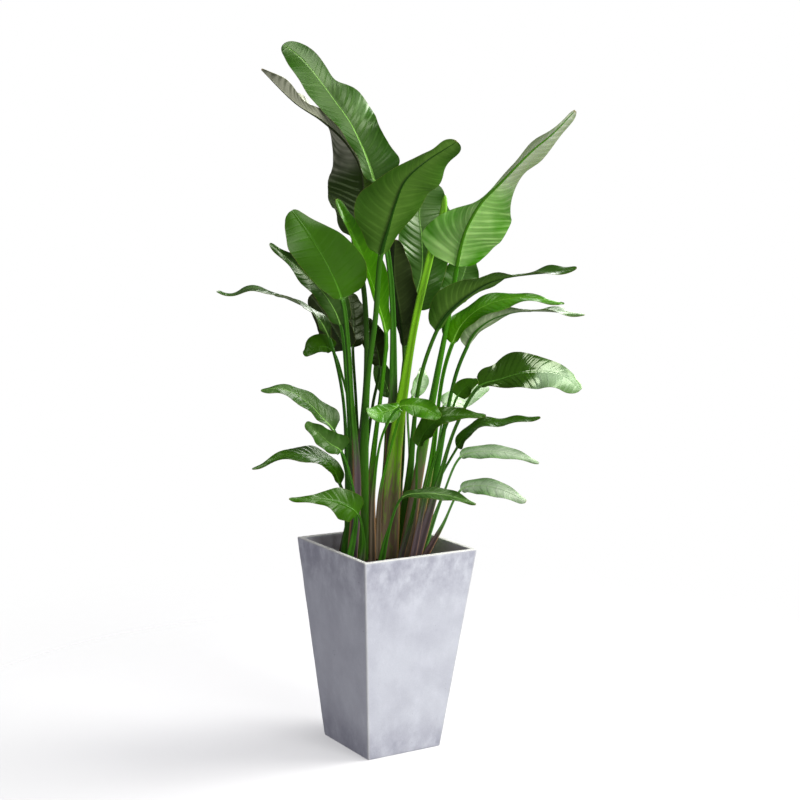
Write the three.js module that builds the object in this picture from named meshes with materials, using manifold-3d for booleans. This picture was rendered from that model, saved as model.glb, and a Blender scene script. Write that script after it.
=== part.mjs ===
// A potted bird of paradise: a clump of long-stalked, paddle-shaped leaves in a tapered square planter.
// Millimetres, +Z up. The origin is the centre of the planter's underside, with its walls along X and Y.
import * as THREE from "three";
import { mergeVertices } from "three/addons/utils/BufferGeometryUtils.js";
import Module from "manifold-3d";

const wasm = await Module();
wasm.setup();

// The planter: a thin-walled square tub of fibre concrete, wider at the top.
const POT_TOP = 306;
const POT_BOTTOM = 200;
const POT_HEIGHT = 480;
const POT_WALL = 12;
const POT_FLOOR = 16;
const POT_CORNER = 5;
const POT_EDGE = 2;
const CORNER_STEPS = 3;
const DRAIN_RADIUS = 8;
const DRAIN_OFFSET = 45;

// The soil fills the planter to a little below its rim and is slightly crowned in the middle.
const SOIL_EDGE_HEIGHT = 434;
const SOIL_CROWN = 8;
const SOIL_RINGS = 4;
const SOIL_UNEVEN = 1.5;
const GAP = 0.3;

// Every stem stands upright in its own hole in the soil as far as the collar, and bends above it.
const ROOT_HEIGHT = 400;
const COLLAR_HEIGHT = 448;
const HOLE_CLEARANCE = 0.4;

// The leaves: a blade is a thin sheet on a rib that tapers from the stalk to the tip.
const BLADE_THICKNESS = 0.9;
const STALK_RINGS = 5;
const BASE_ROUND = 0.1;
const TIP_ROUND = 0.12;
const SHEATH_SHARE = 0.5;
const SAMPLES = 24;

// The plant stands turned in its planter. Each leaf is given as seen from the front of the plant, as
// [across, away, up]: the foot in the soil, points along the stalk, then points along the rib from the
// blade's base to its tip. faces are the directions that the upper side looks in, from base to tip.
// minus and plus are half-widths at even stations on the two sides of the rib, fold and curl the angles
// by which a side rises from the rib and bends on towards its margin, and wave the margin's
// [height, number of waves, lag between the sides]. sheath is the foot's [width, depth].
const PLANT_TURN = -33.2;
const LEAVES = {
  leaf_crown: {
    foot: [-5, 40],
    stem: [[5, 45, 645], [8, 42, 855], [0, 25, 1070], [-20, 15, 1205]],
    rib: [[-44, 5, 1316], [-63, 14, 1370], [-82, 26, 1411], [-104, 40, 1451], [-139, 62, 1497],
      [-177, 84, 1545], [-218, 110, 1592], [-266, 138, 1629]],
    faces: [[0.1, -1, 0.35], [0.2, -1, 0.2]],
    minus: [27, 22, 31, 36, 44, 50, 44, 42, 27],
    plus: [73, 60, 54, 64, 57, 32, 32, 33, 31],
    fold: [25, [5, 15, 25, 10, 0]],
    curl: [0, 0],
    wave: [4, 4, 0.1],
    sheath: [36, 18],
    petiole: 13,
    rings: 15,
  },
  leaf_crown_left: {
    foot: [-62, 75],
    stem: [[-65, 75, 635], [-55, 75, 875], [-65, 58, 1065]],
    rib: [[-90, 48, 1190], [-73, 62, 1246], [-70, 74, 1306], [-85, 80, 1363], [-119, 78, 1411],
      [-167, 58, 1452], [-227, 25, 1489], [-302, -18, 1560]],
    faces: [[0.2, 1, 0.1], [0.3, 1, 0.2], [0.3, 0.9, 0.4], [0.3, 0.3, 0.95], [0.2, 0.1, 1]],
    minus: [52, 62, 56, 38, 22, 18, 22, 24],
    plus: [58, 90, 92, 66, 42, 36, 32, 26],
    fold: [[15, 15, 15, 20, 45, 55, 50, 35], [10, 5, 5, 15, 50, 62, 55, 38]],
    curl: [0, 0],
    wave: [5, 4, 0.3],
    sheath: [30, 15],
    petiole: 12,
    rings: 15,
  },
  leaf_folded: {
    foot: [-35, 70],
    stem: [[-38, 50, 635], [-18, 22, 850]],
    rib: [[-11, 5, 971], [-28, 2, 1035], [-47, 2, 1093], [-73, 5, 1161], [-99, 12, 1210],
      [-131, 20, 1276]],
    faces: [[0.5, -0.8, 0.3]],
    minus: [12, 20, 24, 20, 12],
    plus: [16, 34, 40, 30, 16],
    fold: [30, 35],
    curl: [0, 0],
    wave: [3, 3, 0],
    sheath: [24, 12],
    petiole: 9,
    rings: 15,
  },
  leaf_centre: {
    foot: [-55, -20],
    stem: [[-55, -35, 655], [-50, -50, 865], [-35, -60, 1005]],
    rib: [[-25, -70, 1155], [-10, -85, 1215], [5, -100, 1270], [25, -120, 1320], [65, -140, 1360],
      [136, -162, 1408]],
    faces: [[-0.15, 1, -0.1], [-0.2, 0.9, 0.1], [-0.5, 0.6, 0.7]],
    minus: [20, 33, 54, 68, 72, 78, 64, 57],
    plus: [45, 79, 86, 65, 38, 19, 17, 23],
    fold: [10, 15],
    curl: [10, 10],
    wave: [5, 3, 0.2],
    sheath: [30, 15],
    petiole: 12,
    rings: 15,
  },
  leaf_right_crown: {
    foot: [45, 5],
    stem: [[70, 20, 625], [110, 50, 860], [140, 60, 1050]],
    rib: [[150, 52, 1127], [157, 30, 1172], [165, 5, 1206], [180, -18, 1242], [201, -38, 1278],
      [232, -60, 1312], [268, -85, 1353], [306, -105, 1394], [345, -128, 1429], [390, -150, 1480]],
    faces: [[0.1, 1, -0.2], [-0.1, 1, 0], [-0.4, 0.8, 0.4]],
    minus: [60, 80, 86, 78, 40, 26, 33, 25, 19],
    plus: [110, 85, 45, 14, 16, 18, 20, 12, 6],
    fold: [10, [20, 30, 50, 66, 70, 70, 68, 60, 40]],
    curl: [0, 0],
    wave: [4, 4, 0.2],
    sheath: [30, 15],
    petiole: 11,
    rings: 15,
  },
  leaf_back_centre: {
    foot: [20, 95],
    stem: [[25, 110, 630], [30, 125, 850]],
    rib: [[50, 140, 1015], [70, 155, 1110], [68, 175, 1190], [62, 198, 1250], [80, 222, 1325]],
    faces: [[0.3, -1, 0.3]],
    minus: [49, 60, 67, 68, 58, 45, 34],
    plus: [49, 51, 62, 72, 80, 74, 52],
    fold: [20, 20],
    curl: [0, 0],
    wave: [5, 4, 0.4],
    sheath: [30, 14],
    petiole: 11,
    rings: 15,
  },
  leaf_back_hanging: {
    foot: [2, 68],
    stem: [[30, 72, 625], [35, 75, 800]],
    rib: [[30, 85, 935], [20, 82, 1015], [5, 80, 1100], [5, 75, 1185]],
    faces: [[0.6, 0.75, 0.2]],
    minus: [25, 40, 48, 44, 26],
    plus: [22, 36, 42, 38, 22],
    fold: [22, 24],
    curl: [0, 0],
    wave: [3, 3, 0.1],
    sheath: [22, 11],
    petiole: 7,
    rings: 12,
  },
  leaf_left_round: {
    foot: [-78, -45],
    stem: [[-70, -60, 635], [-85, -80, 825], [-95, -85, 950]],
    rib: [[-110, -90, 1055], [-140, -100, 1125], [-180, -100, 1190], [-225, -90, 1250]],
    faces: [[0.5, -0.9, 0.2], [0.4, -0.9, 0.3]],
    minus: [27, 42, 51, 59, 64, 64, 48, 33],
    plus: [71, 84, 84, 76, 64, 46, 30, 19],
    fold: [10, 10],
    curl: [-10, -10],
    wave: [3, 2, 0],
    sheath: [26, 13],
    petiole: 11,
    rings: 12,
  },
  leaf_left_behind: {
    foot: [-85, 20],
    stem: [[-85, 5, 645], [-100, 0, 860]],
    rib: [[-115, -10, 990], [-145, -20, 1050], [-195, -40, 1105], [-275, -70, 1175]],
    faces: [[-0.4, -0.6, 0.7]],
    minus: [20, 26, 30, 22, 12],
    plus: [40, 50, 40, 20, 8],
    fold: [20, 20],
    curl: [0, 0],
    wave: [4, 3, 0],
    sheath: [22, 11],
    petiole: 7,
    rings: 12,
  },
  leaf_left_long: {
    foot: [-90, 50],
    stem: [[-95, 40, 640], [-110, 30, 830]],
    rib: [[-141, 20, 955], [-161, 10, 994], [-185, 0, 1023], [-214, -12, 1039], [-252, -32, 1056],
      [-291, -50, 1069], [-322, -65, 1071], [-356, -80, 1060], [-390, -95, 1065]],
    faces: [[-0.5, -0.4, 0.7], [-0.2, -0.12, 1], [-0.2, -0.25, 0.95]],
    minus: [10, 20, 28, 30, 28, 26, 15],
    plus: [16, 30, 36, 30, 28, 26, 15],
    fold: [10, 10],
    curl: [-20, -20],
    wave: [4, 3, 0.2],
    sheath: [22, 11],
    petiole: 7,
    rings: 15,
  },
  leaf_left_dark_a: {
    foot: [-88, 81],
    stem: [[-92, 98, 630], [-95, 95, 800]],
    rib: [[-110, 95, 920], [-150, 120, 990], [-195, 150, 1045]],
    faces: [[0.3, 0.9, 0.2]],
    minus: [36, 44, 44, 36, 22],
    plus: [36, 44, 44, 36, 22],
    fold: [10, 10],
    curl: [0, 0],
    wave: [3, 2, 0],
    sheath: [22, 11],
    petiole: 7,
    rings: 9,
  },
  leaf_left_dark_b: {
    foot: [-60, 100],
    stem: [[-70, 115, 630], [-80, 120, 795]],
    rib: [[-90, 120, 925], [-90, 150, 985], [-100, 180, 1050]],
    faces: [[0.2, -0.9, 0.2]],
    minus: [24, 30, 32, 28, 18],
    plus: [24, 30, 32, 28, 18],
    fold: [15, 15],
    curl: [0, 0],
    wave: [3, 2, 0],
    sheath: [22, 11],
    petiole: 7,
    rings: 9,
  },
  leaf_centre_dark: {
    foot: [-40, 110],
    stem: [[-55, 125, 625], [-40, 130, 785]],
    rib: [[-25, 130, 880], [-38, 150, 935], [-66, 170, 990]],
    faces: [[-0.3, -0.9, 0.3]],
    minus: [20, 28, 30, 28, 18],
    plus: [22, 32, 34, 28, 18],
    fold: [15, 15],
    curl: [0, 0],
    wave: [3, 2, 0],
    sheath: [22, 11],
    petiole: 7,
    rings: 9,
  },
  leaf_small_oval: {
    foot: [-70, 40],
    stem: [[-80, 55, 615], [-90, 60, 770], [-110, 50, 860]],
    rib: [[-135, 40, 925], [-160, 30, 935], [-200, 15, 915]],
    faces: [[-0.3, -0.9, 0.4]],
    minus: [12, 14, 14, 12, 8],
    plus: [22, 31, 33, 26, 12],
    fold: [5, 5],
    curl: [0, 0],
    wave: [1, 2, 0],
    sheath: [16, 10],
    petiole: 5.5,
    rings: 9,
  },
  leaf_left_mid: {
    foot: [-95, -5],
    stem: [[-85, -20, 580], [-105, -30, 690]],
    rib: [[-125, -45, 750], [-150, -60, 780], [-175, -80, 810], [-210, -105, 840], [-250, -125, 855],
      [-285, -140, 850]],
    faces: [[-0.1, -0.6, 0.8]],
    minus: [10, 20, 28, 26, 14],
    plus: [48, 40, 30, 18, 8],
    fold: [10, 10],
    curl: [-10, -10],
    wave: [3, 3, 0],
    sheath: [22, 11],
    petiole: 7,
    rings: 12,
  },
  leaf_left_curled: {
    foot: [-84, -66],
    stem: [[-70, -75, 570]],
    rib: [[-105, -95, 710], [-130, -110, 730], [-160, -125, 760], [-185, -130, 780]],
    faces: [[0.1, -0.9, 0.5]],
    minus: [18, 24, 26, 24, 14],
    plus: [32, 30, 24, 18, 10],
    fold: [20, 20],
    curl: [0, 0],
    wave: [4, 3, 0],
    sheath: [16, 10],
    petiole: 5.5,
    rings: 9,
  },
  leaf_left_low: {
    foot: [-100, 15],
    stem: [[-90, 0, 555]],
    rib: [[-110, -15, 620], [-130, -35, 665], [-165, -60, 690], [-210, -85, 700], [-255, -105, 690],
      [-305, -120, 670]],
    faces: [[-0.1, -0.6, 0.8]],
    minus: [10, 22, 26, 14, 8],
    plus: [20, 38, 28, 16, 5],
    fold: [5, 5],
    curl: [-10, -10],
    wave: [3, 3, 0],
    sheath: [22, 11],
    petiole: 7,
    rings: 12,
  },
  leaf_left_lowest: {
    foot: [-56, -62],
    stem: [[-52, -80, 505]],
    rib: [[-65, -105, 570], [-95, -125, 595], [-135, -150, 610], [-175, -180, 615], [-215, -205, 620]],
    faces: [[0.1, -0.85, 0.5]],
    minus: [34, 36, 16, 9, 6],
    plus: [36, 36, 20, 10, 6],
    fold: [5, 5],
    curl: [-10, -10],
    wave: [3, 3, 0],
    sheath: [16, 10],
    petiole: 5.5,
    rings: 9,
  },
  leaf_centre_low: {
    foot: [-30, -45],
    stem: [[-30, -78, 625], [-10, -112, 760]],
    rib: [[25, -128, 820], [50, -138, 825], [80, -150, 820], [115, -180, 805]],
    faces: [[-0.2, -0.8, 0.6]],
    minus: [12, 20, 22, 20, 12],
    plus: [14, 24, 28, 26, 14],
    fold: [15, 10],
    curl: [0, 0],
    wave: [3, 2, 0],
    sheath: [16, 10],
    petiole: 5.5,
    rings: 9,
  },
  leaf_centre_low_left: {
    foot: [-20, -10],
    stem: [[-15, -30, 610], [10, -50, 730]],
    rib: [[25, -60, 810], [5, -80, 805], [-25, -100, 800], [-50, -120, 810]],
    faces: [[0.3, -0.8, 0.6]],
    minus: [16, 26, 30, 26, 14],
    plus: [10, 18, 20, 18, 10],
    fold: [10, 10],
    curl: [0, 0],
    wave: [3, 2, 0],
    sheath: [16, 10],
    petiole: 5.5,
    rings: 9,
  },
  leaf_right_low_a: {
    foot: [35, -20],
    stem: [[65, -35, 585]],
    rib: [[70, -55, 720], [90, -75, 765], [125, -90, 795], [175, -95, 800], [220, -100, 800]],
    faces: [[0, -0.7, 0.7]],
    minus: [18, 30, 24, 16, 8],
    plus: [14, 30, 26, 18, 8],
    fold: [15, 15],
    curl: [0, 0],
    wave: [3, 3, 0],
    sheath: [16, 10],
    petiole: 5.5,
    rings: 9,
  },
  leaf_right_low_b: {
    foot: [75, 10],
    stem: [[110, 5, 605]],
    rib: [[160, -5, 710], [180, -15, 745], [210, -30, 770], [265, -50, 780], [345, -75, 795]],
    faces: [[-0.1, -0.5, 0.85]],
    minus: [16, 20, 16, 16, 10],
    plus: [26, 26, 20, 20, 12],
    fold: [10, 10],
    curl: [0, 0],
    wave: [3, 3, 0],
    sheath: [16, 10],
    petiole: 5.5,
    rings: 12,
  },
  leaf_right_pale: {
    foot: [85, 40],
    stem: [[130, 40, 585]],
    rib: [[170, 40, 680], [205, 30, 695], [260, 10, 700], [305, -5, 695], [350, -20, 680]],
    faces: [[0, -0.8, 0.6]],
    minus: [14, 16, 16, 12, 6],
    plus: [14, 22, 20, 14, 6],
    fold: [10, 10],
    curl: [0, 0],
    wave: [2, 3, 0],
    sheath: [16, 10],
    petiole: 5.5,
    rings: 9,
  },
  leaf_right_lowest: {
    foot: [90, 0],
    stem: [[130, -10, 525]],
    rib: [[170, -30, 615], [205, -50, 630], [260, -85, 630], [315, -120, 610]],
    faces: [[0, -0.85, 0.5]],
    minus: [14, 18, 18, 14, 8],
    plus: [14, 22, 24, 20, 12],
    fold: [5, 5],
    curl: [0, 0],
    wave: [2, 3, 0],
    sheath: [16, 10],
    petiole: 5.5,
    rings: 9,
  },
  leaf_front_low: {
    foot: [-10, -60],
    stem: [[5, -85, 525]],
    rib: [[35, -110, 610], [75, -130, 625], [140, -150, 625], [200, -165, 610]],
    faces: [[0, -0.7, 0.7]],
    minus: [9, 14, 16, 13, 6],
    plus: [9, 16, 18, 14, 6],
    fold: [10, 10],
    curl: [0, 0],
    wave: [2, 3, 0],
    sheath: [16, 10],
    petiole: 5.5,
    rings: 9,
  },
  leaf_right_tiny: {
    foot: [60, -45],
    stem: [[100, -60, 665], [140, -70, 795]],
    rib: [[155, -75, 840], [175, -85, 865], [200, -95, 880]],
    faces: [[0.2, -0.9, 0.4]],
    minus: [18, 22, 20, 14, 8],
    plus: [18, 22, 20, 14, 8],
    fold: [15, 15],
    curl: [0, 0],
    wave: [2, 2, 0],
    sheath: [16, 10],
    petiole: 5.5,
    rings: 9,
  },
  leaf_right_glossy: {
    foot: [70, -15],
    stem: [[115, -25, 620], [155, -35, 765]],
    rib: [[205, -50, 860], [250, -70, 880], [305, -95, 900], [355, -115, 905], [395, -135, 895],
      [425, -150, 870]],
    faces: [[0.1, -0.85, 0.6]],
    minus: [36, 56, 44, 26, 16],
    plus: [12, 30, 44, 46, 34],
    fold: [10, 10],
    curl: [-10, -10],
    wave: [3, 3, 0],
    sheath: [24, 12],
    petiole: 8,
    rings: 12,
  },
  leaf_right_long_a: {
    foot: [30, 45],
    stem: [[50, 40, 620], [70, 30, 860]],
    rib: [[106, 20, 978], [129, 2, 1020], [159, -20, 1053], [190, -45, 1079], [221, -75, 1100],
      [260, -105, 1114], [306, -135, 1123], [352, -162, 1130], [402, -190, 1141]],
    faces: [[0.3, 0.9, 0.2], [0.25, 0.6, 0.6], [0.15, -0.1, 1], [0.1, -0.6, 0.75]],
    minus: [14, 20, 22, 24, 26, 32, 30, 16],
    plus: [42, 50, 36, 26, 24, 28, 32, 20],
    fold: [[60, 60, 40, 25, 15, 10, 10, 10], 10],
    curl: [0, 0],
    wave: [4, 4, 0],
    sheath: [26, 13],
    petiole: 9,
    rings: 15,
  },
  leaf_right_long_b: {
    foot: [60, 65],
    stem: [[100, 75, 640], [125, 70, 870]],
    rib: [[145, 65, 945], [165, 60, 990], [205, 45, 1030], [265, 25, 1055], [330, 0, 1060],
      [395, -20, 1050]],
    faces: [[0, -0.6, 0.8]],
    minus: [39, 34, 31, 28, 22, 14, 10, 7],
    plus: [15, 20, 30, 42, 36, 22, 14, 10],
    fold: [10, 10],
    curl: [-10, -10],
    wave: [4, 3, 0],
    sheath: [26, 13],
    petiole: 9,
    rings: 15,
  },
  leaf_right_long_c: {
    foot: [80, 80],
    stem: [[115, 95, 635], [155, 95, 865]],
    rib: [[180, 90, 935], [200, 80, 975], [235, 70, 1005], [290, 50, 1025], [355, 25, 1030],
      [445, 0, 1025]],
    faces: [[0.3, 0.8, 0.5], [0.1, 0.3, 1], [0.1, -0.4, 0.9]],
    minus: [8, 12, 18, 24, 26, 24, 22, 12],
    plus: [30, 32, 30, 28, 28, 24, 18, 10],
    fold: [20, 10],
    curl: [-15, -15],
    wave: [4, 3, 0],
    sheath: [24, 12],
    petiole: 9,
    rings: 15,
  },
  spear: {
    foot: [5, 10],
    stem: [[15, 15, 695], [30, 25, 820], [55, 45, 990], [85, 85, 1135]],
    rib: [[100, 100, 1200], [115, 110, 1245], [120, 115, 1290]],
    faces: [[0, -1, 0]],
    rolled: true,
    sheath: [48, 24],
    petiole: 18,
    rings: 6,
  },
  leaf_back_right: {
    foot: [40, 120],
    stem: [[70, 140, 625], [115, 150, 895]],
    rib: [[145, 150, 1035], [165, 170, 1085], [185, 190, 1145]],
    faces: [[-0.2, -0.9, 0.3]],
    minus: [40, 50, 50, 42, 24],
    plus: [36, 44, 44, 38, 22],
    fold: [15, 15],
    curl: [0, 0],
    wave: [4, 3, 0],
    sheath: [22, 11],
    petiole: 7,
    rings: 9,
  },
  leaf_back_pale: {
    foot: [65, 100],
    stem: [[105, 120, 605], [125, 125, 740]],
    rib: [[130, 125, 790], [180, 160, 805], [240, 190, 830]],
    faces: [[0.1, -0.8, 0.6]],
    minus: [22, 28, 28, 22, 12],
    plus: [22, 28, 28, 22, 12],
    fold: [15, 15],
    curl: [0, 0],
    wave: [3, 2, 0],
    sheath: [16, 10],
    petiole: 5.5,
    rings: 9,
  },
  leaf_back_low_a: {
    foot: [8, 126],
    stem: [[50, 160, 620], [45, 165, 780]],
    rib: [[55, 165, 805], [75, 190, 840], [80, 215, 870]],
    faces: [[0.5, -0.8, 0.3]],
    minus: [14, 20, 20, 16, 10],
    plus: [14, 20, 20, 16, 10],
    fold: [15, 15],
    curl: [0, 0],
    wave: [2, 2, 0],
    sheath: [16, 10],
    petiole: 5.5,
    rings: 9,
  },
  leaf_back_low_b: {
    foot: [-20, 122],
    stem: [[-10, 160, 620], [-5, 165, 770]],
    rib: [[0, 165, 800], [-15, 190, 845], [-35, 215, 890]],
    faces: [[-0.3, -0.8, 0.4]],
    minus: [18, 24, 24, 20, 12],
    plus: [18, 24, 24, 20, 12],
    fold: [15, 15],
    curl: [0, 0],
    wave: [2, 2, 0],
    sheath: [16, 10],
    petiole: 5.5,
    rings: 9,
  },
};

const CONCRETE_GREY = 0xb9bcc8;
const CONCRETE_ROUGHNESS = 0.85;
const SOIL_BROWN = 0x3b2a22;
const SOIL_ROUGHNESS = 0.95;
const LEAF_GREEN = 0x2f6a14;
const YOUNG_GREEN = 0x6fa01c;
const LEAF_ROUGHNESS = 0.45;

const toVector = (p) => new THREE.Vector3(p[0], p[1], p[2]);
const smooth = (x) => THREE.MathUtils.smoothstep(x, 0, 1);
const radians = THREE.MathUtils.degToRad;

// A list of equal rings of points, closed with a fan at each end, as one closed mesh. Rings turn about
// the way from the first ring to the last. flipped(j) tells which diagonal splits the j-th strip.
function loft(rings, flipped = () => false) {
  const size = rings[0].length;
  const points = rings.flat();
  const index = [];
  for (let i = 0; i + 1 < rings.length; i++)
    for (let j = 0; j < size; j++) {
      const a = i * size + j;
      const b = i * size + ((j + 1) % size);
      const c = a + size;
      const d = b + size;
      if (flipped(j)) index.push(a, b, c, b, d, c);
      else index.push(a, b, d, a, d, c);
    }
  const cap = (start, outward) => {
    const centre = new THREE.Vector3();
    for (let j = 0; j < size; j++) centre.addScaledVector(points[start + j], 1 / size);
    const middle = points.push(centre) - 1;
    for (let j = 0; j < size; j++) {
      const a = start + j;
      const b = start + ((j + 1) % size);
      index.push(...(outward ? [a, b, middle] : [b, a, middle]));
    }
  };
  cap(0, false);
  cap((rings.length - 1) * size, true);
  const geometry = new THREE.BufferGeometry().setFromPoints(points);
  geometry.setIndex(index);
  return geometry;
}

// Closed meshes to solids and back, for the holes in the planter's floor and in the soil.
function toSolid(geometry) {
  const bare = geometry.clone();
  bare.deleteAttribute("normal");
  bare.deleteAttribute("uv");
  const merged = mergeVertices(bare, 1e-4);
  const vertProperties = new Float32Array(merged.attributes.position.array);
  const triVerts = new Uint32Array(merged.index.array);
  return new wasm.Manifold(new wasm.Mesh({ numProp: 3, vertProperties, triVerts }));
}

function toGeometry(solid) {
  const mesh = solid.getMesh();
  const geometry = new THREE.BufferGeometry();
  geometry.setAttribute("position", new THREE.BufferAttribute(mesh.vertProperties, 3));
  geometry.setIndex(new THREE.BufferAttribute(mesh.triVerts, 1));
  return geometry;
}

// The planter's half-width at a height, outside.
const potHalf = (z) => (POT_BOTTOM + ((POT_TOP - POT_BOTTOM) * z) / POT_HEIGHT) / 2;

// A square with rounded corners, as a ring of points at one height.
function squareRing(half, radius, height) {
  const ring = [];
  for (let corner = 0; corner < 4; corner++)
    for (let k = 0; k <= CORNER_STEPS; k++) {
      const angle = ((corner + k / CORNER_STEPS) * Math.PI) / 2;
      const turn = ((corner + 0.5) * Math.PI) / 2;
      const x = (half - radius) * Math.SQRT2 * Math.cos(turn) + radius * Math.cos(angle);
      const y = (half - radius) * Math.SQRT2 * Math.sin(turn) + radius * Math.sin(angle);
      ring.push(new THREE.Vector3(x, y, height));
    }
  return ring;
}

function makePot() {
  const outer = (z, inset = 0) => squareRing(potHalf(z) - inset, POT_CORNER, z);
  const inner = (z, inset = 0) => squareRing(potHalf(z) - POT_WALL + inset, POT_CORNER, z);
  const shell = loft([
    outer(0, POT_EDGE),
    outer(POT_EDGE),
    outer(POT_HEIGHT - POT_EDGE),
    outer(POT_HEIGHT, POT_EDGE),
    inner(POT_HEIGHT, POT_EDGE),
    inner(POT_HEIGHT - POT_EDGE),
    inner(POT_FLOOR),
  ]);
  let pot = toSolid(shell);
  for (const [x, y] of [[1, 0], [0, 1], [-1, 0], [0, -1]]) {
    const drain = new THREE.CylinderGeometry(DRAIN_RADIUS, DRAIN_RADIUS, 3 * POT_FLOOR, 12);
    drain.rotateX(Math.PI / 2).translate(x * DRAIN_OFFSET, y * DRAIN_OFFSET, POT_FLOOR / 2);
    pot = pot.subtract(toSolid(drain));
  }
  return toGeometry(pot);
}

// The soil: the planter's inside less a gap, its top ring by ring up to the crown, with each stem's hole.
function makeSoil() {
  const inside = (z) => potHalf(z) - POT_WALL - GAP;
  const rings = [squareRing(inside(POT_FLOOR), POT_CORNER, POT_FLOOR + GAP)];
  for (let k = 0; k < SOIL_RINGS; k++) {
    const share = 1 - k / SOIL_RINGS;
    const height = SOIL_EDGE_HEIGHT + SOIL_CROWN * (1 - share * share);
    const ring = squareRing(inside(SOIL_EDGE_HEIGHT) * share, POT_CORNER * share, height);
    if (k > 0) ring.forEach((p) => (p.z += SOIL_UNEVEN * Math.sin(p.x / 17) * Math.cos(p.y / 13)));
    rings.push(ring);
  }
  let soil = toSolid(loft(rings));
  for (const leaf of Object.values(LEAVES)) {
    const frame = stalkFrame(leaf, new THREE.Vector3(0, 0, 1));
    const section = stalkSection(leaf.sheath[0] + 2 * HOLE_CLEARANCE, leaf.sheath[1] + 2 * HOLE_CLEARANCE);
    const at = (z) => place(section, new THREE.Vector3(leaf.foot[0], leaf.foot[1], z), frame);
    const hole = loft([at(ROOT_HEIGHT - HOLE_CLEARANCE), at(COLLAR_HEIGHT + 10)]);
    hole.rotateZ(radians(PLANT_TURN));
    soil = soil.subtract(toSolid(hole));
  }
  return toGeometry(soil);
}

// A value at a share s of the way, from values at even stations, joined by a smooth curve.
function station(values, s) {
  if (typeof values === "number") return values;
  const n = values.length;
  const x = THREE.MathUtils.clamp(s * n - 0.5, 0, n - 1);
  const i = Math.min(Math.floor(x), n - 2);
  const u = x - i;
  const [a, b, c, d] = [-1, 0, 1, 2].map((k) => values[THREE.MathUtils.clamp(i + k, 0, n - 1)]);
  return b + 0.5 * u * (c - a + u * (2 * a - 5 * b + 4 * c - d + u * (3 * (b - c) + d - a)));
}

// The blade's width fades to nothing in a round end at its base and at its tip.
function rounding(s) {
  const low = THREE.MathUtils.clamp(1 - s / BASE_ROUND, 0, 1);
  const high = THREE.MathUtils.clamp((s - 1 + TIP_ROUND) / TIP_ROUND, 0, 1);
  return Math.sqrt(1 - low * low) * Math.sqrt(1 - high * high);
}

// The direction that the upper side looks in, at a share s from the blade's base to its tip.
function faceAt(leaf, s) {
  const n = leaf.faces.length - 1;
  const i = Math.min(Math.floor(s * n), Math.max(n - 1, 0));
  const from = toVector(leaf.faces[i]).normalize();
  const to = toVector(leaf.faces[Math.min(i + 1, n)]).normalize();
  return from.lerp(to, n ? s * n - i : 0);
}

// side points to the plus side of the rib and up away from the upper side, both square to the way along.
function makeFrame(along, face) {
  const side = new THREE.Vector3().crossVectors(along, face).normalize();
  const up = new THREE.Vector3().crossVectors(side, along).normalize();
  return { side, up };
}

const stalkFrame = (leaf, along) => makeFrame(along, faceAt(leaf, 0));

const place = (section, centre, { side, up }) =>
  section.map(([x, h]) => centre.clone().addScaledVector(side, x).addScaledVector(up, h));

// Ten points round a stalk, with the shallow channel that runs down its upper side.
function stalkSection(width, depth) {
  const a = width / 2;
  const b = depth / 2;
  return [
    [-a, 0.15 * b],
    [-0.6 * a, 0.9 * b],
    [0, 0.6 * b],
    [0.6 * a, 0.9 * b],
    [a, 0.15 * b],
    [0.92 * a, -0.4 * b],
    [0.55 * a, -0.88 * b],
    [0, -b],
    [-0.55 * a, -0.88 * b],
    [-0.92 * a, -0.4 * b],
  ];
}

// Ten points round the blade at a share s of its length: margin, middle and rib of the upper side, then
// the same of the underside, where the rib stands out as a keel. The fold flattens out at both ends.
function bladeSection(leaf, s) {
  const keel = leaf.petiole * (1 - 0.85 * s);
  const [height, waves, lag] = leaf.wave;
  const point = (sign, reach, face) => {
    const half = station(sign < 0 ? leaf.minus : leaf.plus, s) * rounding(s);
    const width = reach * Math.max(half, keel * 0.55, BLADE_THICKNESS);
    const fold = station(leaf.fold[sign < 0 ? 0 : 1], s);
    const angle = radians((fold + (leaf.curl[sign < 0 ? 0 : 1] * reach) / 2) * rounding(s));
    const wave = height * reach * reach * rounding(s) * Math.sin(2 * Math.PI * (waves * s + lag * sign));
    const x = sign * width * Math.cos(angle);
    const h = width * Math.sin(angle) + wave;
    const skin = (face * BLADE_THICKNESS) / 2;
    return [x - sign * skin * Math.sin(angle), h + skin * Math.cos(angle)];
  };
  return [
    point(-1, 1, 1),
    point(-1, 0.5, 1),
    [0, 0.12 * keel + 0.3],
    point(1, 0.5, 1),
    point(1, 1, 1),
    point(1, 1, -1),
    point(1, 0.5, -1),
    [0, -0.8 * keel],
    point(-1, 0.5, -1),
    point(-1, 1, -1),
  ];
}

// The point and the way along at a share of a polyline's length.
function pointAt(line, share) {
  const last = line.length - 1;
  const lengths = [0];
  for (let k = 1; k < line.length; k++) lengths.push(lengths[k - 1] + line[k].distanceTo(line[k - 1]));
  const target = share * lengths.at(-1);
  let i = 1;
  while (i < last && lengths[i] < target) i++;
  const part = (target - lengths[i - 1]) / (lengths[i] - lengths[i - 1]);
  const tangent = (k) => line[Math.min(k + 1, last)].clone().sub(line[Math.max(k - 1, 0)]).normalize();
  return {
    centre: line[i - 1].clone().lerp(line[i], part),
    along: tangent(i - 1).lerp(tangent(i), part).normalize(),
  };
}

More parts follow.
